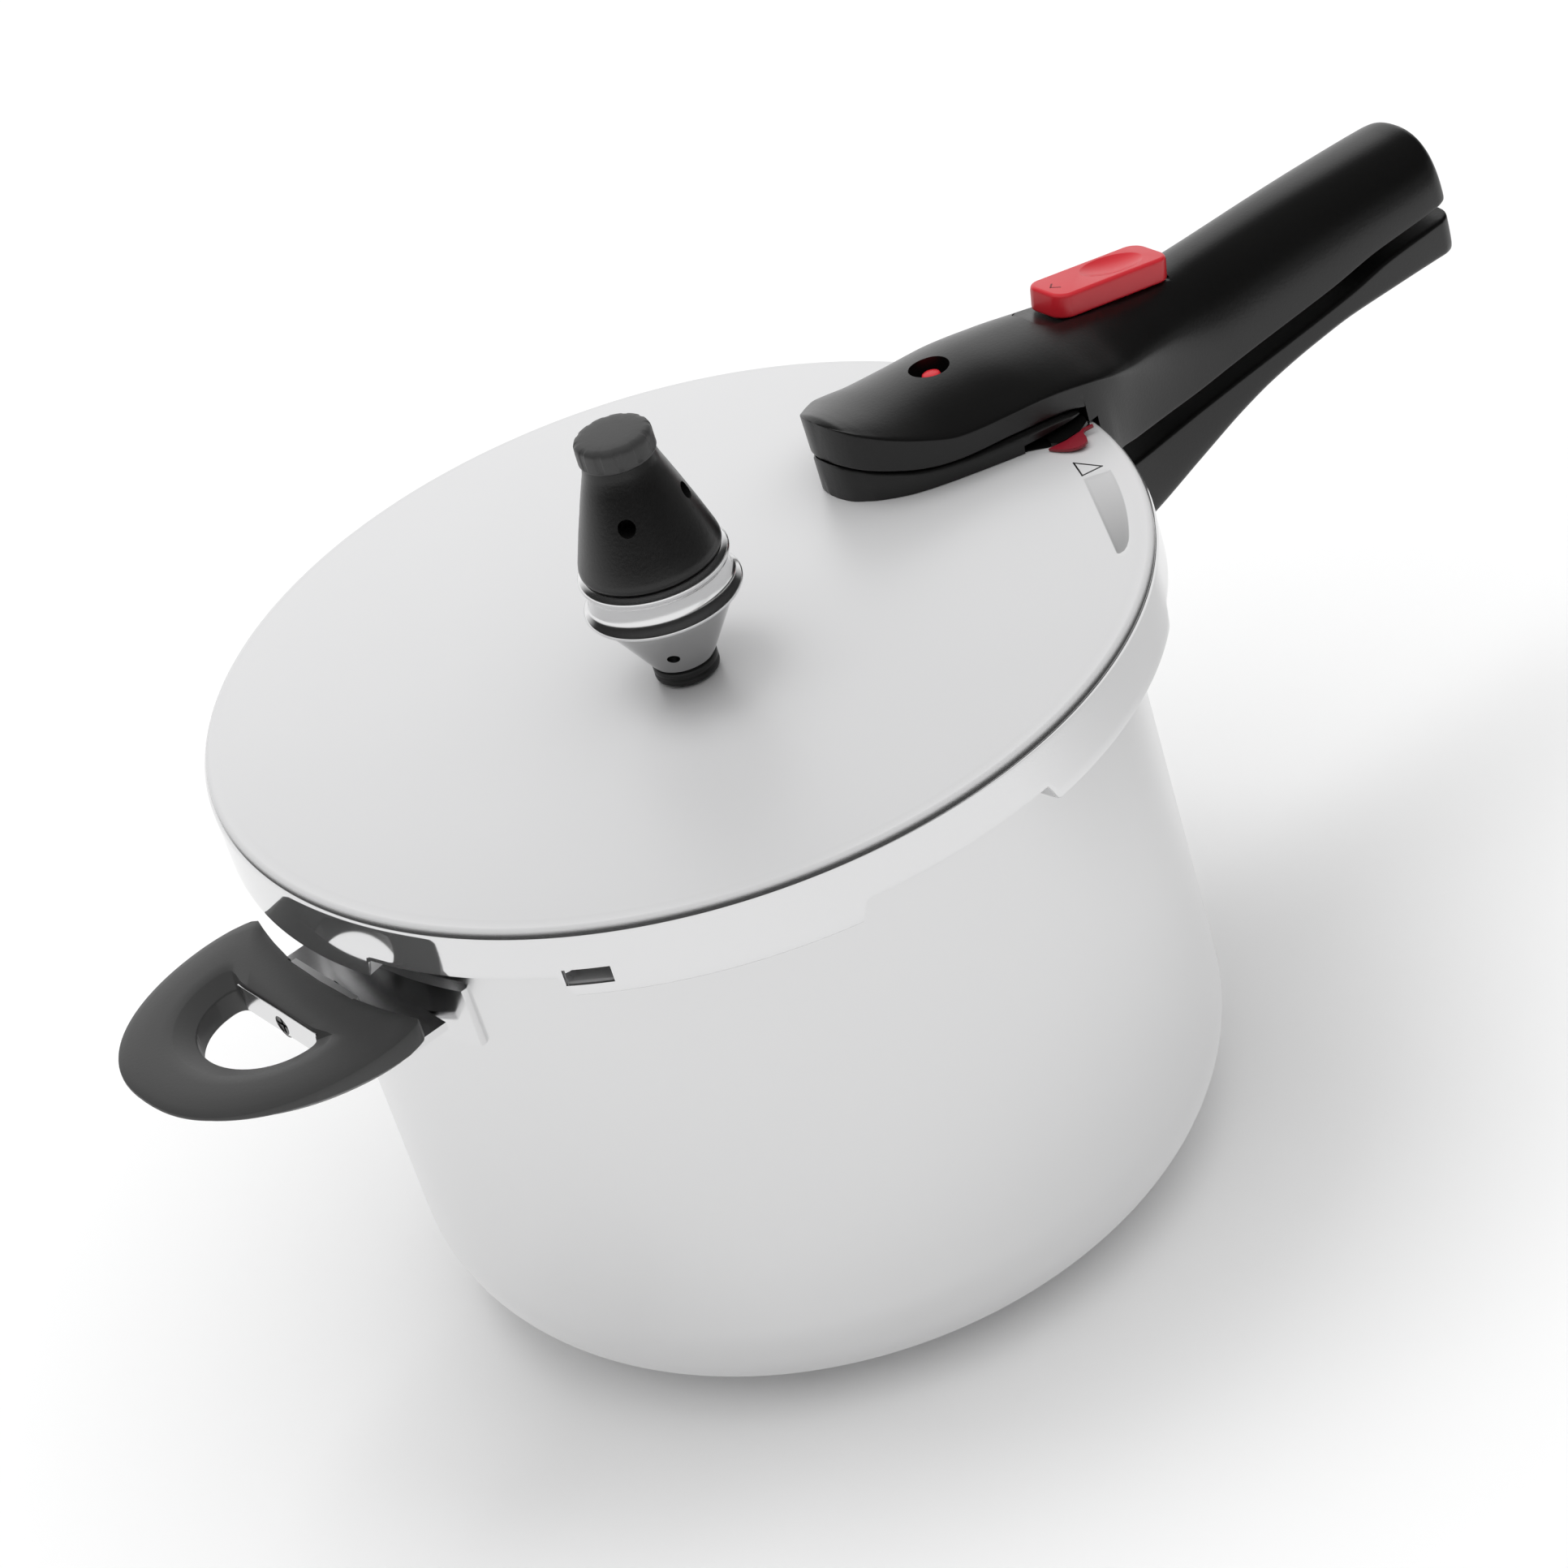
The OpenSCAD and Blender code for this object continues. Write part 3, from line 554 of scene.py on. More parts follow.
# lid: crowned sheet, polished skirt with deep sections that fold in as tabs and shallow ones between
lidShape = {"topZ": 179, "crownR": 1105.0, "sheet": 1.8, "steps": 720,
            "rimArc": (120.9, 169.7, 2.6, 96, 0, 12),
            "rows": [0, 6, 14, 24, 36, 48, 60, 72, 84, 94, 101, 105, 106.6],
            "fineRows": (107.4, 0.45, 25, 118.8),  # first, step, count and last, where the crescent lies
            "skirtR": 123.5, "skirtRows": (168.6, 167, 165, 162, 159, 156.5, 154.4), "skirtIn": 121.7,
            "fold": [(123.35, 153.5), (122.9, 153.05), (122.3, 153), (119.5, 153), (115, 153),
                     (113.7, 153.1), (113.3, 153.5), (113.2, 154.2), (113.3, 154.9), (113.7, 155.3),
                     (115, 155.4), (119.5, 155.4), (121.1, 155.6), (121.6, 156.1), (121.7, 157)],
            "inside": [(121.3, 169.9), (120.4, 170.6), (119, 170.75)],
            "underRows": (112, 100, 85, 65, 45, 25, 10, 0),
            "stretchZ": 165, "deepZ": 153, "shallowZ": 158.5, "deepHalf": 17, "deepAzimuth": -5.4,
            "edge": 0.7, "tabFromR": 113, "tabToR": 121.65, "tabToZ": 156.2, "foldedR": 122.2,
            "foldedShare": 0.02, "crescentFromR": 106, "crescentDepth": 0.3, "crescentEdge": 0.7,
            "windowTurn": -139.5, "windowAt": (122.6, 158.7), "window": (6, 12, 4.6)}


def crownZ(r):
    return lidShape["topZ"] - lidShape["crownR"] + math.sqrt(lidShape["crownR"] ** 2 - r * r)


def polar(r, azimuth):
    return r * math.cos(math.radians(azimuth)), r * math.sin(math.radians(azimuth))


def makeLid():
    s = lidShape
    first, step, count, last = s["fineRows"]
    radii = s["rows"] + [first + step * i for i in range(count)] + [last]
    profile = [(r, crownZ(r)) for r in radii] + arcPoints(*s["rimArc"])
    profile += [(s["skirtR"], z) for z in s["skirtRows"]] + s["fold"]
    profile += [(s["skirtIn"], z) for z in (159, 162, 165, 167.4, 168.8)] + s["inside"]
    profile += [(r, crownZ(r) - s["sheet"]) for r in s["underRows"]]
    lid = lathe("lidSheet", profile, steps=s["steps"])
    turn = math.radians(recess["turn"])

    def skirt(x, y, z, r, azimuth):
        shallow = ease((awayFrom(azimuth, s["deepAzimuth"]) - s["deepHalf"] + s["edge"]) / (2 * s["edge"]))
        low = s["deepZ"] + (s["shallowZ"] - s["deepZ"]) * shallow
        stretched = s["stretchZ"] - (s["stretchZ"] - z) * (s["stretchZ"] - low) / (s["stretchZ"] - s["deepZ"])
        if r >= s["tabToR"] or z >= s["tabToZ"]:
            return x, y, stretched
        folded = low + s["foldedShare"] * (z - s["deepZ"])
        k = (r + (s["foldedR"] - r) * shallow) / r
        return x * k, y * k, stretched + (folded - stretched) * shallow

    def crescent(x, y, r):
        along = x * math.cos(turn) + y * math.sin(turn)
        back = x * math.sin(turn) - y * math.cos(turn)
        depths = (along - recess["chord"], recess["rimR"] - r,
                  back - recess["start"] - recess["slant"] * (along - recess["chord"]),
                  recess["end"] - back - recess["bulge"] * (along - recess["middle"]) ** 2)
        return math.prod(ease(depth / s["crescentEdge"]) for depth in depths) * s["crescentDepth"]

    def shape(x, y, z):
        r, azimuth = math.hypot(x, y), math.degrees(math.atan2(y, x))
        if z < s["stretchZ"] and r > s["tabFromR"]:
            return skirt(x, y, z, r, azimuth)
        if r > s["crescentFromR"] and z > crownZ(min(r, 119)) - 0.5:
            z -= crescent(x, y, r)
        return x, y, z

    bends(lid, shape)
    (r, z), azimuth = s["windowAt"], s["windowTurn"]
    carve(lid, cutter("box", (*polar(r, azimuth), z), s["window"], (0, 0, math.radians(azimuth))))
    place(lid, "lid", "lid_steel", "lid")


# the triangle on the lid, as radius and azimuth, and the chevron on the button
marks = {"thick": 0.16, "openWidth": 0.42, "open": [(109.4, -22.2), (115.2, -24.9), (109.4, -26.0),
                                                    (109.4, -22.2)],
         "slide": [(-14.6, 1.7), (-16.4, 0), (-14.6, -1.7)], "slideWidth": 0.45, "slideZ": 6.45}


def makeMark(name, corners, width, body, material, height):  # a thin outline drawn with flat bars
    bars = []
    for (ax, ay), (bx, by) in zip(corners, corners[1:]):
        unselectAll()
        bpy.ops.mesh.primitive_cube_add(size=1, location=(0, 0, 0))
        bar = bpy.context.object
        bar.scale = ((math.hypot(bx - ax, by - ay) + width) * mm, width * mm, marks["thick"] * mm)
        bar.rotation_euler = (0, 0, math.atan2(by - ay, bx - ax))
        bar.location = ((ax + bx) / 2 * mm, (ay + by) / 2 * mm, 0)
        bpy.ops.object.transform_apply(location=True, rotation=True, scale=True)
        bars.append(bar)
    unselectAll()
    for bar in bars:
        bar.select_set(True)
    bpy.context.view_layer.objects.active = bars[0]
    bpy.ops.object.join()
    mark = bpy.context.object
    mark.name = mark.data.name = name
    bends(mark, lambda x, y, z: (x, y, z + height(x, y)))
    dress(mark, finishes[material])
    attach(mark, body)
    return mark


makePot()
print("pot made")
makeLid()
makeMark("openMark", [polar(*corner) for corner in marks["open"]], marks["openWidth"], "lid", "black_plastic",
         lambda x, y: crownZ(math.hypot(x, y)))
print("lid made")


# lid handle, upper shell: each row is a place along the handle and a height or a half width
shellShape = {
    "top": [(56.2, 199.6), (58, 199.8), (60, 199.3), (64, 198.2), (70, 196.9), (75, 196.2), (84, 195.4),
            (93.6, 194.9), (104, 194.2), (118, 192.3), (130, 190), (140, 187.7), (152, 184.6),
            (165, 181.9), (177, 180.6), (213, 180), (240, 178.9), (253, 178.2), (258.6, 177.9),
            (259.9, 177.5), (260.6, 176.8), (261, 175.9)],
    "ridge": [(56.2, 199.2), (58, 198.2), (60, 196.9), (62, 195.8), (64.5, 194.5), (69, 192.5),
              (75, 190.1), (81, 188.1), (88, 187.2), (96, 186.7), (104.5, 186.5), (111.5, 185.6),
              (120, 183.4), (130, 179.5), (140, 175.5), (155, 172.5), (180, 171.5), (213, 171.2),
              (253, 170), (261, 169)],
    "ridgeHalf": [(56.2, 2.2), (56.35, 4), (56.6, 5.6), (57.2, 8), (58, 10), (60, 12.8), (63, 15.6),
                  (66, 17.8), (70, 20.2), (75, 22.4), (81, 24.2), (95.5, 26.8), (109, 29.4), (118, 30),
                  (128, 28.8), (140, 25.4), (155, 21.6), (175, 18.6), (200, 17.5), (250, 17.1),
                  (256.2, 16.7), (258.6, 16), (259.6, 15.3), (260.4, 14.2), (260.84, 13), (261, 11.8)],
    "footHalf": [(56.2, 2.2), (56.35, 4), (56.6, 5.6), (57.2, 8), (58, 10), (60, 12.8), (63, 15.6),
                 (66, 17.8), (70, 20.2), (75, 22.4), (81, 24), (93, 26.2), (105, 28.6), (118, 29.2),
                 (124.4, 27.8), (128, 25.8), (136, 22.5), (148, 19.8), (163, 17.9), (187, 17.1),
                 (250, 17), (256.2, 16.6), (258.6, 15.9), (259.6, 15.2), (260.4, 14.1), (260.84, 12.9),
                 (261, 11.7)],
    "foot": [(56.2, 157.5), (126.2, 157.5), (136, 155.2), (148, 154), (163, 153.2), (179, 153.6),
             (213, 155.1), (233, 157), (256, 157.4), (261, 157.6)],
    "farShare": [(56, 0.84), (60, 0.86), (65, 0.94), (70, 0.99), (75, 0.975), (81, 0.945), (95.5, 0.83),
                 (109, 0.707), (118, 0.667), (128, 0.69), (140, 0.8), (155, 0.91), (175, 0.99), (190, 1),
                 (264, 1)],  # the far side's width, as a share of the near one's
    "seam": [(50, 190.4), (55, 188.6), (58, 187.2), (61, 185.9), (65, 184.5), (70, 183), (76, 181.8),
             (84, 180.9), (94, 180.4), (104, 179.9), (110, 179.2), (114, 178.3), (117.6, 177), (130, 174)],
    "noseRows": (56.2, (0.1, 57), (0.25, 58.5), (0.7, 64), (1, 70), (1.6, 117.4)),
    "gripRows": (118.6, (1.8, 253), (0.8, 258.6), (0.4, 260.2), (0.2, 261)),
    "stepX": 117.6, "seamGap": 0.25, "rimR": 124.2, "rimZ": 172.9, "archFrom": 120, "archTo": 182,
    "power": 2.5, "points": 104, "sightX": 94, "sightR": 5.6, "sightZ": 195.2,
    "pocket": (6.6, 0.6, 3.9), "pocketZ": (-0.6, 12)}
baseShape = {"half": [(55.7, 2), (55.9, 3.6), (56.5, 6.4), (58.8, 10.2), (60.5, 12.4), (64.2, 15.7),
                      (68, 18.3), (72.4, 20.3), (79.3, 22.7), (91, 25.9), (101, 28.2), (107.8, 29.3),
                      (112, 29.6), (115, 29.3), (116.4, 28.2), (117.2, 26.4), (117.6, 25.5)],
             "rows": (55.7, (0.1, 56.1), (0.4, 59), (0.8, 68), (1.5, 97.3)),
             "slotRows": (99, (1.2, 114), (0.5, 117.5)), "slotX": 97.4, "slotZ": 177.6, "lipZ": 176.45,
             "lip": 2.2, "pinHole": 7.2, "room": (18, 18.4, 20), "roomX": 110,
             "shadeSheet": [(96.6, -18), (96.6, -25.6), (102.6, -29.9), (107.8, -31.8), (112.5, -32),
                       (116.5, -31), (117.6, -29), (117.6, -18)], "shadeSheetZ": (0.02, 0.26)}
# the catch that locks at the rim: plate in black as painted shade, red wing on the near side in a darker red
# as painted shade, post and bar up to the button
catch = {"low": 173.95, "high": 174.9,
         "plate": [(104.4, 16.8), (104.4, -28.6), (103.6, -30.4), (104.6, -32.2), (107.5, -32.8),
                   (111.2, -32.9), (113, -32.4), (115.6, -31.2), (116.9, -28.6), (116.9, 16.8)],
         "wing": [(101.5, -31.6), (102.1, -33.6), (103.1, -35.6), (104.3, -37.3), (105.9, -38.5),
                  (107.8, -38.9), (109.3, -38.3), (110.5, -36.5), (111.2, -34.7), (112.4, -33.5),
                  (115.2, -34.1), (115.4, -33.3), (112.6, -32.7), (111.2, -33.1), (106.5, -33)],
         "wingLift": 0.02, "wingEdge": 0.2,
         "post": (7, 12, 10.4), "postAt": (113, 0, 179.9),
         "bar": (58, 17.2, 1.2), "barZ": (-10.2, -6.4), "barX": -15}
button = {"centre": (151.5, 0, 184.6), "turn": 12, "length": 39, "width": 15, "corner": 4.4,
          "tiers": [(-0.2, 0.5), (0.2, 0.1), (0.7, 0), (3, 0), (5.2, 0), (5.9, 0.12), (6.3, 0.45),
                    (6.5, 0.95)],
          "dish": (16, 9.2, 6), "dishAt": (4.5, 0, 11.2), "edge": 0.35}


def seamZ(x):
    return smoothAt(shellShape["seam"], x)


def shellRing(x):  # from the wall and crown of the nose to the arch of the grip
    s = shellShape
    top, ridge, low = smoothAt(s["top"], x), smoothAt(s["ridge"], x), smoothAt(s["foot"], x)
    w, foot = smoothAt(s["ridgeHalf"], x), smoothAt(s["footHalf"], x)
    cut = seamZ(x) + s["seamGap"] if x < s["stepX"] else low
    small = min(1.0, w / 8)
    h = top - ridge

    def wall(z):
        t = (ridge - z) / (ridge - low)
        return w + (foot - w) * t - 0.45 * small * math.sin(math.pi * clamp01(t))

    edge = wall(cut)
    flat = [(edge * 0.45, cut), (edge - 1.8 * small, cut), (edge - 0.5 * small, cut),
            (edge - 0.05, cut + 0.3), (wall(cut + 1.0), cut + 1.0)]
    flat += [(wall(cut + (ridge - cut) * t), cut + (ridge - cut) * t) for t in (0.35, 0.62, 0.84)]
    flat += [(w, ridge - 0.4), (w, ridge + 0.15), (w - 0.7 * small, ridge + 0.08 * h + 0.35),
             (w * 0.87, ridge + 0.31 * h), (w * 0.68, ridge + 0.6 * h), (w * 0.42, ridge + 0.87 * h),
             (w * 0.14, top)]
    wide = (w + foot) / 2
    arch = [(wide * 0.45, low), (wide - 1.8, low), (wide - 0.6, low + 0.1), (wide - 0.05, low + 0.6),
            (wide, low + 1.6)]
    arch += [(wide * t, low + (top - low) * (1 - t ** s["power"]) ** (1 / s["power"]))
             for t in (0.995, 0.975, 0.93, 0.87, 0.79, 0.68, 0.54, 0.38, 0.22, 0.07)]
    share = ease((x - s["archFrom"]) / (s["archTo"] - s["archFrom"]))
    half = [(a[0] + (b[0] - a[0]) * share, a[1] + (b[1] - a[1]) * share) for a, b in zip(flat, arch)]
    far = smoothAt(s["farShare"], x)
    return [(x, y * far if y > 0 else y, z) for y, z in softLoop(bothSides(half), s["points"])]


def spaced(*rows):  # rows: start, then (step, end) pairs
    out = [rows[0]]
    for step, end in rows[1:]:
        count = max(1, round((end - out[-1]) / step))
        first = out[-1]
        out += [first + (end - first) * (i + 1) / count for i in range(count)]
    return out


def inButton(x, y, z):  # from the button's own frame to the handle's
    a = math.radians(button["turn"])
    cx, cy, cz = button["centre"]
    return (cx + x * math.cos(a) + z * math.sin(a), cy + y, cz - x * math.sin(a) + z * math.cos(a))


def plate(length, width, corner, count=8):  # outline of a block with round corners
    out, x, y = [], length / 2 - corner, width / 2 - corner
    for cx, cy, start in ((x, y, 0), (-x, y, 90), (-x, -y, 180), (x, -y, 270)):
        out += arcPoints(cx, cy, corner, start, start + 90, count - 1)
    return out


def makeShell():
    s = shellShape
    rows = spaced(*s["noseRows"]) + [s["stepX"] + 0.1] + spaced(*s["gripRows"])
    shell = loft("handleShell", [shellRing(x) for x in rows])
    longer, wider, corner = s["pocket"]
    outline = plate(button["length"] + longer, button["width"] + wider, corner)
    pocket = loft("pocket", [[inButton(x - 3, y, z) for x, y in outline] for z in s["pocketZ"]])
    x, r = s["sightX"], s["sightR"]
    carve(shell, cutter("cylinder", (x, 0, 190), (r - 0.2, 40), corners=64),
          cutter("cone", (x, 0, s["sightZ"]), (r - 0.7, r + 0.9, 2.4), corners=64), pocket,
          cutter("cylinder", (0, 0, s["rimZ"] - 20), (s["rimR"], 40), corners=360))
    place(shell, "lid", "black_plastic", "handle_shell", degrees=28)


def baseRing(x):
    s = baseShape
    w, top, far = smoothAt(s["half"], x), seamZ(x) - 0.12, smoothAt(shellShape["farShare"], x)
    inside = x < s["slotX"]
    lip = w - min(s["lip"], w / 3)
    ring = []
    for side, share in ((1, far), (-1, 1)):
        half = []
        for t in (0.12, 0.36, 0.6, 0.8, 0.94, 1.0):
            y = lip * t * side * share
            half.append((y, crownZ(math.hypot(x, y)) + 0.03 if inside else s["slotZ"]))
        outer = w * share
        low = crownZ(math.hypot(x, outer)) + 0.03 if inside or side > 0 else s["lipZ"]
        half += [(side * y, z) for y, z in (
            (outer - (w - lip) * 0.96, low), (outer - 0.3, low), (outer, low + 0.3),
            (outer, low + (top - low) * 0.5), (outer, top - 1.1), (outer - min(0.35, w / 9), top - 0.45),
            (outer - min(1.0, w / 4), top - 0.06), (outer * 0.55, top), (outer * 0.15, top))]
        ring += half if side > 0 else half[::-1]
    return [(x, y, z) for y, z in ring]


def makeBase():
    s = baseShape
    rows = spaced(*s["rows"]) + [s["slotX"] + 0.1] + spaced(*s["slotRows"])
    base = loft("handleBase", [baseRing(x) for x in rows])
    carve(base, cutter("cylinder", (shellShape["sightX"], 0, 180), (s["pinHole"], 40)),
          cutter("box", (s["roomX"], 0, 180), s["room"]))
    place(base, "lid", "black_plastic", "handle_base", degrees=30)
    # painted shade: a thin black sheet laid on the lid under the catch, where there is only shade
    shadeSheet = slab("baseShadeSheet", s["shadeSheet"], *s["shadeSheetZ"])
    bends(shadeSheet, lambda x, y, z: (x, y, z + crownZ(math.hypot(x, y))))
    place(shadeSheet, "lid", "black_plastic", degrees=30)


def makeCatch():
    c = catch
    # painted shade: the plate, part of the red catch, is given the black plastic colour so that it reads as
    # shade seen through the slot
    flat = slab("catchPlate", c["plate"], c["low"], c["high"])
    place(flat, "button", "black_plastic", "lock_bar", degrees=30)
    wing = slab("catchWing", c["wing"], c["low"] + c["wingLift"], c["high"] + c["wingLift"])
    rounded(wing, c["wingEdge"], 2)
    place(wing, "button", "red_plastic", degrees=30)
    # painted shade: the red wing takes the darker red copy because it lies in shade under the lid
    dress(wing, finishes["redInPaintedShade"])
    post = cutter("box", c["postAt"], c["post"])
    post.name = post.data.name = "catchPost"
    place(post, "button", "black_plastic", degrees=30)
    bar = slab("catchBar", plate(*c["bar"], 4), *c["barZ"])
    bends(bar, lambda x, y, z: inButton(x + c["barX"], y, z))
    place(bar, "button", "black_plastic", degrees=30)


def makeButton():
    b = button
    rings = []
    for z, inset in b["tiers"]:
        outline = plate(b["length"] - 2 * inset, b["width"] - 2 * inset, b["corner"] - inset, 10)
        rings.append([(x, y, z) for x, y in outline])
    body = loft("buttonBlock", rings)
    carve(body, cutter("sphere", b["dishAt"], b["dish"], corners=96))
    rounded(body, b["edge"], 3, 12)
    bends(body, inButton)
    place(body, "button", "red_plastic", "slide_button", degrees=40)
    mark = makeMark("buttonMark", marks["slide"], marks["slideWidth"], "button", "red_plastic",
                    lambda x, y: marks["slideZ"])
    bends(mark, inButton)
    dress(mark, finishes["redDark"])


lowerShape = {"top": [(111, 145.5), (139, 145), (163, 146.4), (178, 147.3), (200, 148.6), (221, 150.2),
                      (237, 152.3), (256, 153), (261, 153.3)],
              "low": [(111, 121.5), (142, 126.6), (160, 131.7), (177, 136.6), (189, 139.2), (205, 141.2),
                      (221, 142.2), (238, 141.9), (257, 141.3), (261, 141)],
              "half": [(111, 21), (126, 18.5), (150, 16.5), (190, 16), (240, 16.2), (256.2, 16.2),
                       (258.6, 15.6), (259.6, 14.9), (260.4, 13.8), (260.84, 12.7), (261, 11.4)],
              "rows": (113, (2.2, 255), (0.8, 258.6), (0.4, 260.2), (0.2, 261)), "rootR": 111, "points": 64}


def lowerRing(x):
    top, low, w = (smoothAt(lowerShape[key], x) for key in ("top", "low", "half"))
    h = top - low
    half = [(w * 0.4, low), (w - 3.4, low), (w - 1.4, low + 0.5), (w - 0.5, low + 1.6),
            (w - 0.1, low + h * 0.3), (w, low + h * 0.62), (w, top - 1.4), (w, top - 0.5),
            (w - 0.5, top), (w - 1.6, top), (w * 0.7, top), (w * 0.3, top)]
    root = lowerShape["rootR"]
    return [(x if x > root else math.sqrt(root ** 2 - y * y), y, z)
            for y, z in softLoop(bothSides(half), lowerShape["points"])]


def makeLower():
    rows = [lowerShape["rootR"]] + spaced(*lowerShape["rows"])
    place(loft("lowerGrip", [lowerRing(x) for x in rows]), "pot", "black_plastic", "lower_handle", degrees=30)


# helper handle: outline from above, finger hole, the dish round the hole and the wall at the edge
helperShape = {"innerR": 123.6, "rootRows": (0.5, 8, 16, 24, 30, 34, 36.2),
               "shoulder": [(-119.4, 37.2), (-121.2, 37.9), (-124.5, 38.8), (-127.6, 39.2)],
               "endX": -131, "reach": 176.5, "endHalf": 39.4, "endPower": 0.86, "endRows": 24,
               "finger": [(-136.6, 0.5), (-136.6, 9), (-136.6, 15), (-136.8, 17), (-137.6, 18.2),
                          (-139, 18.8)],
               "fingerX": -140, "fingerR": (17.5, 18.9), "fingerRows": 16,
               "centre": (-146.5, 0), "stations": 160, "top": 144.6, "low": 135.4, "edge": 1.0,
               "dishFrom": 57, "dishOver": 7, "dish": 5, "wall": (0.9, 4.4), "wallFrom": -171, "wallOver": 46,
               "screwZ": 138.6, "screwHole": (-133, 2.1, 24), "headHole": (-140.3, 3.9, 8),
               "slot": (5, 29, 40), "slotAt": (-121, 0, 140),
               "boss": (10, 50, 4.6), "bossAt": (-128.4, 0, 133.3),
               "plate": (0.36, 35.2, 7.6), "plateAt": (-136.7, 0, 139.9), "plateHole": (-136.7, 2.7, 4)}


def helperOutline():
    s = helperShape
    half = [(-math.sqrt(s["innerR"] ** 2 - y * y), y) for y in s["rootRows"]] + s["shoulder"]
    for i in range(s["endRows"]):
        turn = math.radians(90 - 90 * i / s["endRows"])
        half.append((s["endX"] - (s["reach"] + s["endX"]) * math.cos(turn),
                     s["endHalf"] * math.sin(turn) ** s["endPower"]))
    return half + [(-s["reach"], 0)] + [(x, -y) for x, y in reversed(half)]


def fingerOutline():
    s = helperShape
    deep, wide = s["fingerR"]
    turns = [math.radians(90 * i / s["fingerRows"]) for i in range(s["fingerRows"])]
    half = s["finger"] + [(s["fingerX"] - deep * math.sin(a), wide * math.cos(a)) for a in turns]
    return half + [(s["fingerX"] - deep, 0)] + [(x, -y) for x, y in reversed(half)]


def hitOutline(outline, centre, angle):  # how far a ray from the centre goes to the outline
    dx, dy = math.cos(angle), math.sin(angle)
    best = 0
    for (ax, ay), (bx, by) in zip(outline, outline[1:] + outline[:1]):
        ex, ey = bx - ax, by - ay
        cross = dx * ey - dy * ex
        if abs(cross) < 1e-9:
            continue
        along = ((ax - centre[0]) * ey - (ay - centre[1]) * ex) / cross
        part = ((ax - centre[0]) * dy - (ay - centre[1]) * dx) / cross
        if along > 0 and -1e-6 <= part <= 1 + 1e-6:
            best = max(best, along)
    return best


def helperSection(angle, ro, ri):  # between the outer edge at ro and the finger hole at ri
    s = helperShape
    cx, cy = s["centre"]
    fromPot = abs(math.degrees(math.atan2(math.sin(angle), math.cos(angle))))
    dish = ease((fromPot - s["dishFrom"]) / s["dishOver"])
    rim = ri + (0.5 + s["dish"] * dish)
    mid = (rim + ro) / 2
    top, low, edge = s["top"], s["low"], s["top"] - s["edge"]
    thin, more = s["wall"]
    wall = thin + more * clamp01((cx + ro * math.cos(angle) - s["wallFrom"]) / s["wallOver"])
    under = edge - wall - low
    inset = min(1.4 * under, ro - ri - 4)
    path = [(ro - 0.3, low + under - 0.3), (ro, low + under + 0.2), (ro, edge - 0.4), (ro - 0.12, edge - 0.1),
            (ro - 0.5, edge + 0.1), ((mid + 2 * ro) / 3, top - 0.42), (mid, top),
            ((mid + rim) / 2, top + 0.02), (rim + 0.3, top - 0.05), (rim - 0.1, top - 0.2),
            ((rim + ri) / 2, top - 0.3 - 0.95 * dish),
            (ri + 0.25, top - 0.5 - 1.8 * dish), (ri, top - 0.9 - 1.8 * dish), (ri, low + 0.5),
            (ri + 0.5, low), (ri + 1.5, low), ((ri + ro - inset) / 2, low), (ro - inset, low),
            (ro - inset * 0.67, low + under * 0.33), (ro - inset * 0.34, low + under * 0.66)]
    return [(cx + r * math.cos(angle), cy + r * math.sin(angle), z) for r, z in path]


def makeHelper():
    s = helperShape
    outer, inner = helperOutline(), fingerOutline()
    angles = [i / s["stations"] * math.tau for i in range(s["stations"])]
    helper = ringLoft("helperGrip", [helperSection(a, hitOutline(outer, s["centre"], a),
                                                   hitOutline(inner, s["centre"], a)) for a in angles])

    def bore(x, radius, length, corners):
        return cutter("cylinder", (x, 0, s["screwZ"]), (radius, length), (0, math.pi / 2, 0), corners)

    carve(helper, bore(*s["screwHole"], 32), bore(*s["headHole"], 40), cutter("box", s["slotAt"], s["slot"]))
    place(helper, "pot", "black_plastic", "helper_handle", degrees=30)
    dress(helper, finishes["mattPlastic"])
    boss = cutter("box", s["bossAt"], s["boss"])
    boss.name = boss.data.name = "helperBoss"
    rounded(boss, 1.4, 4)
    place(boss, "pot", "black_plastic")
    sheet = cutter("box", s["plateAt"], s["plate"])
    sheet.name = sheet.data.name = "helperPlate"
    carve(sheet, bore(*s["plateHole"], 40))
    place(sheet, "pot", "bracket_steel")
    # painted shade: the steel screw deep in its hole is given the black plastic colour so that the hole reads
    # as dark shade
    dress(nodes["helper_screw"], finishes["black_plastic"])


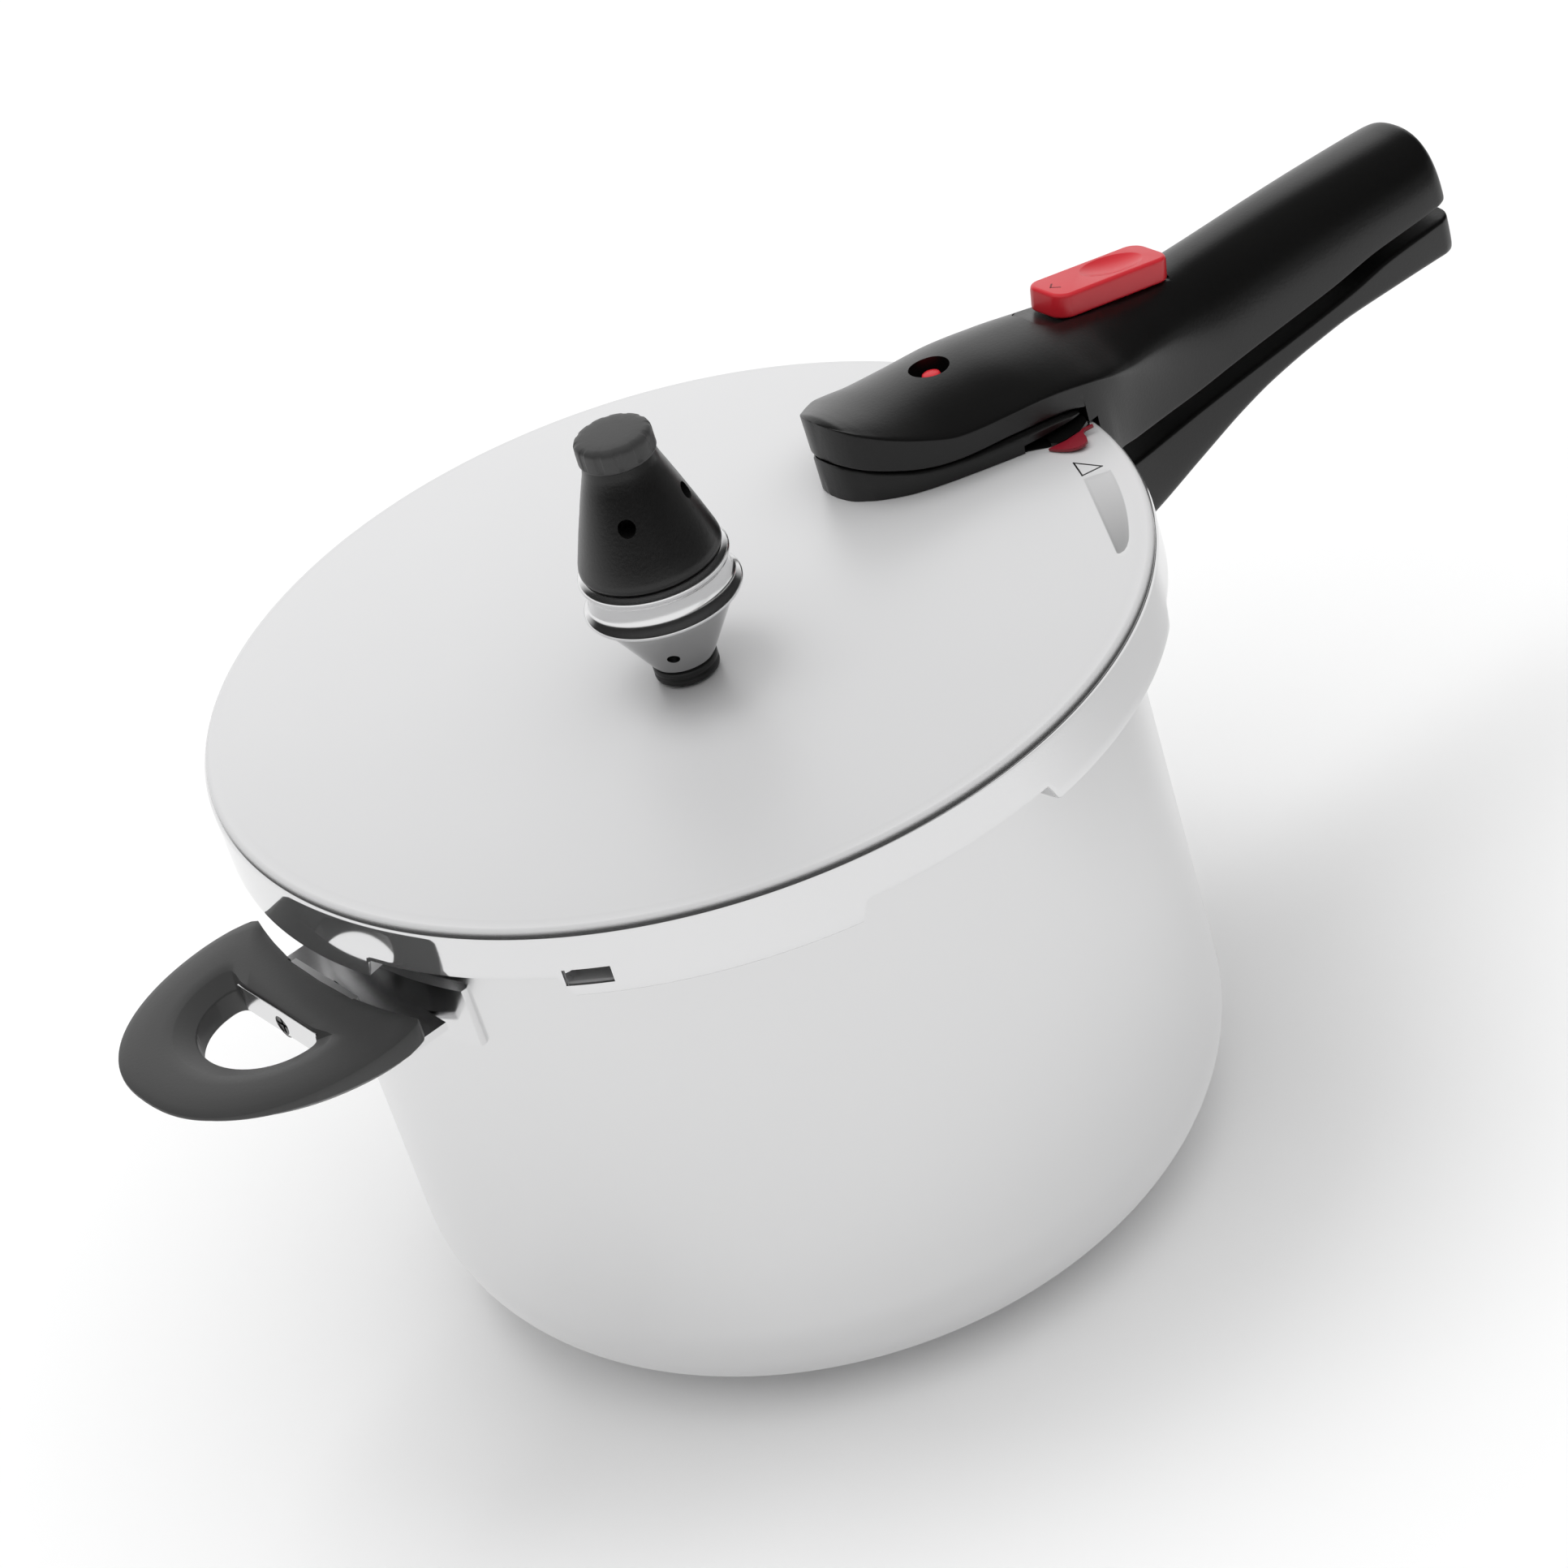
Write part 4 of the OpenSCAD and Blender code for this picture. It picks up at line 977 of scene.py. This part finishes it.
# regulator, heights from the lid: turned steel cone and ring, moulded hood with its cap
regulator = {
    "x": -15.6, "y": -29.0, "steps": 192, "sleeveSteps": 64, "capSteps": 288,
    "cone": [(7.05, 5), (7.8, 5), (8.15, 5.15), (8.35, 5.6), (9.2, 7), (11.4, 10.8), (13.8, 14.9),
             (16.2, 19), (17.2, 20.7), (17.5, 21.4), (17.5, 22), (7.05, 22), (7.05, 14), (7.05, 5)],
    "sleeve": [(6.9, 5.6), (7.5, 5.6), (7.5, 21.5), (6.9, 21.5), (6.9, 14), (6.9, 5.6)],
    "ring": [(7.05, 22), (12, 22), (18.4, 22), (19.1, 22.15), (19.6, 22.5), (19.88, 23), (19.85, 23.5),
             (19.5, 23.9), (18.8, 24.4), (18.25, 25.1), (17.95, 26.2), (17.85, 27.6), (17.85, 29.2),
             (18.0, 30.1), (18.4, 30.9), (18.8, 31.5), (18.95, 32.1), (18.85, 32.7), (18.45, 33.2),
             (17.9, 33.6), (17.4, 33.9), (12, 34), (7.05, 34), (7.05, 28), (7.05, 22)],
    "hood": [(0, 34), (9, 34), (16.9, 34), (17.5, 34.2), (17.78, 34.8), (17.8, 35.6), (17.5, 37),
             (16.4, 40.5), (15.1, 44.6), (13.7, 48.8), (12.2, 53.2), (10.7, 57.4), (9.75, 60),
             (9.45, 61.2), (9.1, 62.9), (5, 63), (0, 63)],
    "cap": [(0, 63), (5, 63), (9.1, 63), (9.5, 63.2), (9.7, 63.7), (9.7, 64.4), (9.7, 65.4), (9.7, 67),
            (9.62, 67.9), (9.3, 68.6), (8.7, 69), (7.6, 69.15), (5, 69.22), (2.5, 69.26), (0, 69.28)],
    "foot": [(7.05, 0.8), (7.8, 0.8), (8.1, 1.0), (8.2, 1.5), (8.2, 2.2), (7.95, 2.5), (7.95, 2.8),
             (8.2, 3.1), (8.2, 4.2), (8.0, 4.7), (7.7, 4.98), (7.05, 5), (7.05, 3), (7.05, 0.8)],
    "coneHoles": (-132, -42, 48, 138), "coneHole": (11.2, 1.6, 12),  # azimuths, then height, radius and place
    "hoodHoles": (-134, -44, 46, 136), "hoodHole": (50.2, 2.2, 13.4), "holeDepth": 10,
    "notchStep": 30, "notchHalf": 6.6, "notchSoft": 3.4, "notchDepth": 0.25,
    "notchFromR": 8.5, "notchFromZ": 63.6}
ventZ = crownZ(math.hypot(regulator["x"], regulator["y"]))


def turned(name, part, steps=regulator["steps"]):
    profile = [(r, ventZ + h) for r, h in regulator[part]]
    return lathe(name, profile, steps, (regulator["x"], regulator["y"]))


def drill(obj, azimuths, hole):
    height, radius, reach = hole
    tools = []
    for azimuth in azimuths:
        x, y = polar(reach, azimuth)
        tools.append(cutter("cylinder", (regulator["x"] + x, regulator["y"] + y, ventZ + height),
                            (radius, regulator["holeDepth"]), (0, math.pi / 2, math.radians(azimuth)), 40))
    carve(obj, *tools)


def capNotches(x, y, z):
    s = regulator
    dx, dy = x - s["x"], y - s["y"]
    r = math.hypot(dx, dy)
    if r < s["notchFromR"]:
        return x, y, z
    away = awayFrom(math.degrees(math.atan2(dy, dx)), 0, s["notchStep"])
    deep = ease((s["notchHalf"] - away) / s["notchSoft"]) * ease((z - ventZ - s["notchFromZ"]) / 0.8)
    k = 1 - s["notchDepth"] / r * deep
    return s["x"] + dx * k, s["y"] + dy * k, z


def makeRegulator():
    cone = turned("coneTurned", "cone")
    drill(cone, regulator["coneHoles"], regulator["coneHole"])
    place(cone, "weight", "weight_steel", "weight_cone", degrees=30)
    dress(cone, finishes["coneSteel"])
    place(turned("coneSleeve", "sleeve", regulator["sleeveSteps"]), "weight", "black_plastic")
    place(turned("ringTurned", "ring"), "weight", "weight_steel", "weight_ring", degrees=50)
    hood = turned("hoodMoulded", "hood")
    drill(hood, regulator["hoodHoles"], regulator["hoodHole"])
    place(hood, "weight", "black_plastic", "weight_hood", degrees=30)
    cap = turned("capMoulded", "cap", regulator["capSteps"])
    bends(cap, capNotches)
    place(cap, "weight", "black_plastic", "weight_cap", degrees=36)
    dress(cap, finishes["mattPlastic"])
    place(turned("footMoulded", "foot"), "weight", "black_plastic", "weight_foot", degrees=40)


# float pin: radius, and height from the lid
pinShape = {"x": 94, "steps": 64,
            "profile": [(0, -12), (3.8, -12), (4, -11.8), (4, -10.6), (3.8, -10.4), (2.3, -10.4),
                        (2.1, -10.2), (2.1, 0), (2.1, 14.4), (2.5, 14.9), (2.55, 15.2), (2.55, 17),
                        (2.4, 17.45), (1.9, 17.7), (0.9, 17.8), (0, 17.8)]}


def makePin():
    profile = [(r, crownZ(pinShape["x"]) + h) for r, h in pinShape["profile"]]
    pin = lathe("pinTurned", profile, pinShape["steps"], (pinShape["x"], 0))
    place(pin, "float", "red_plastic", "float_pin", degrees=50)


makeHelper()
print("helper handle made")
makeShell()
makeBase()
makeButton()
makeCatch()
print("lid handle and button made")
makeLower()
makeRegulator()
makePin()
print("lower handle, regulator and pin made")
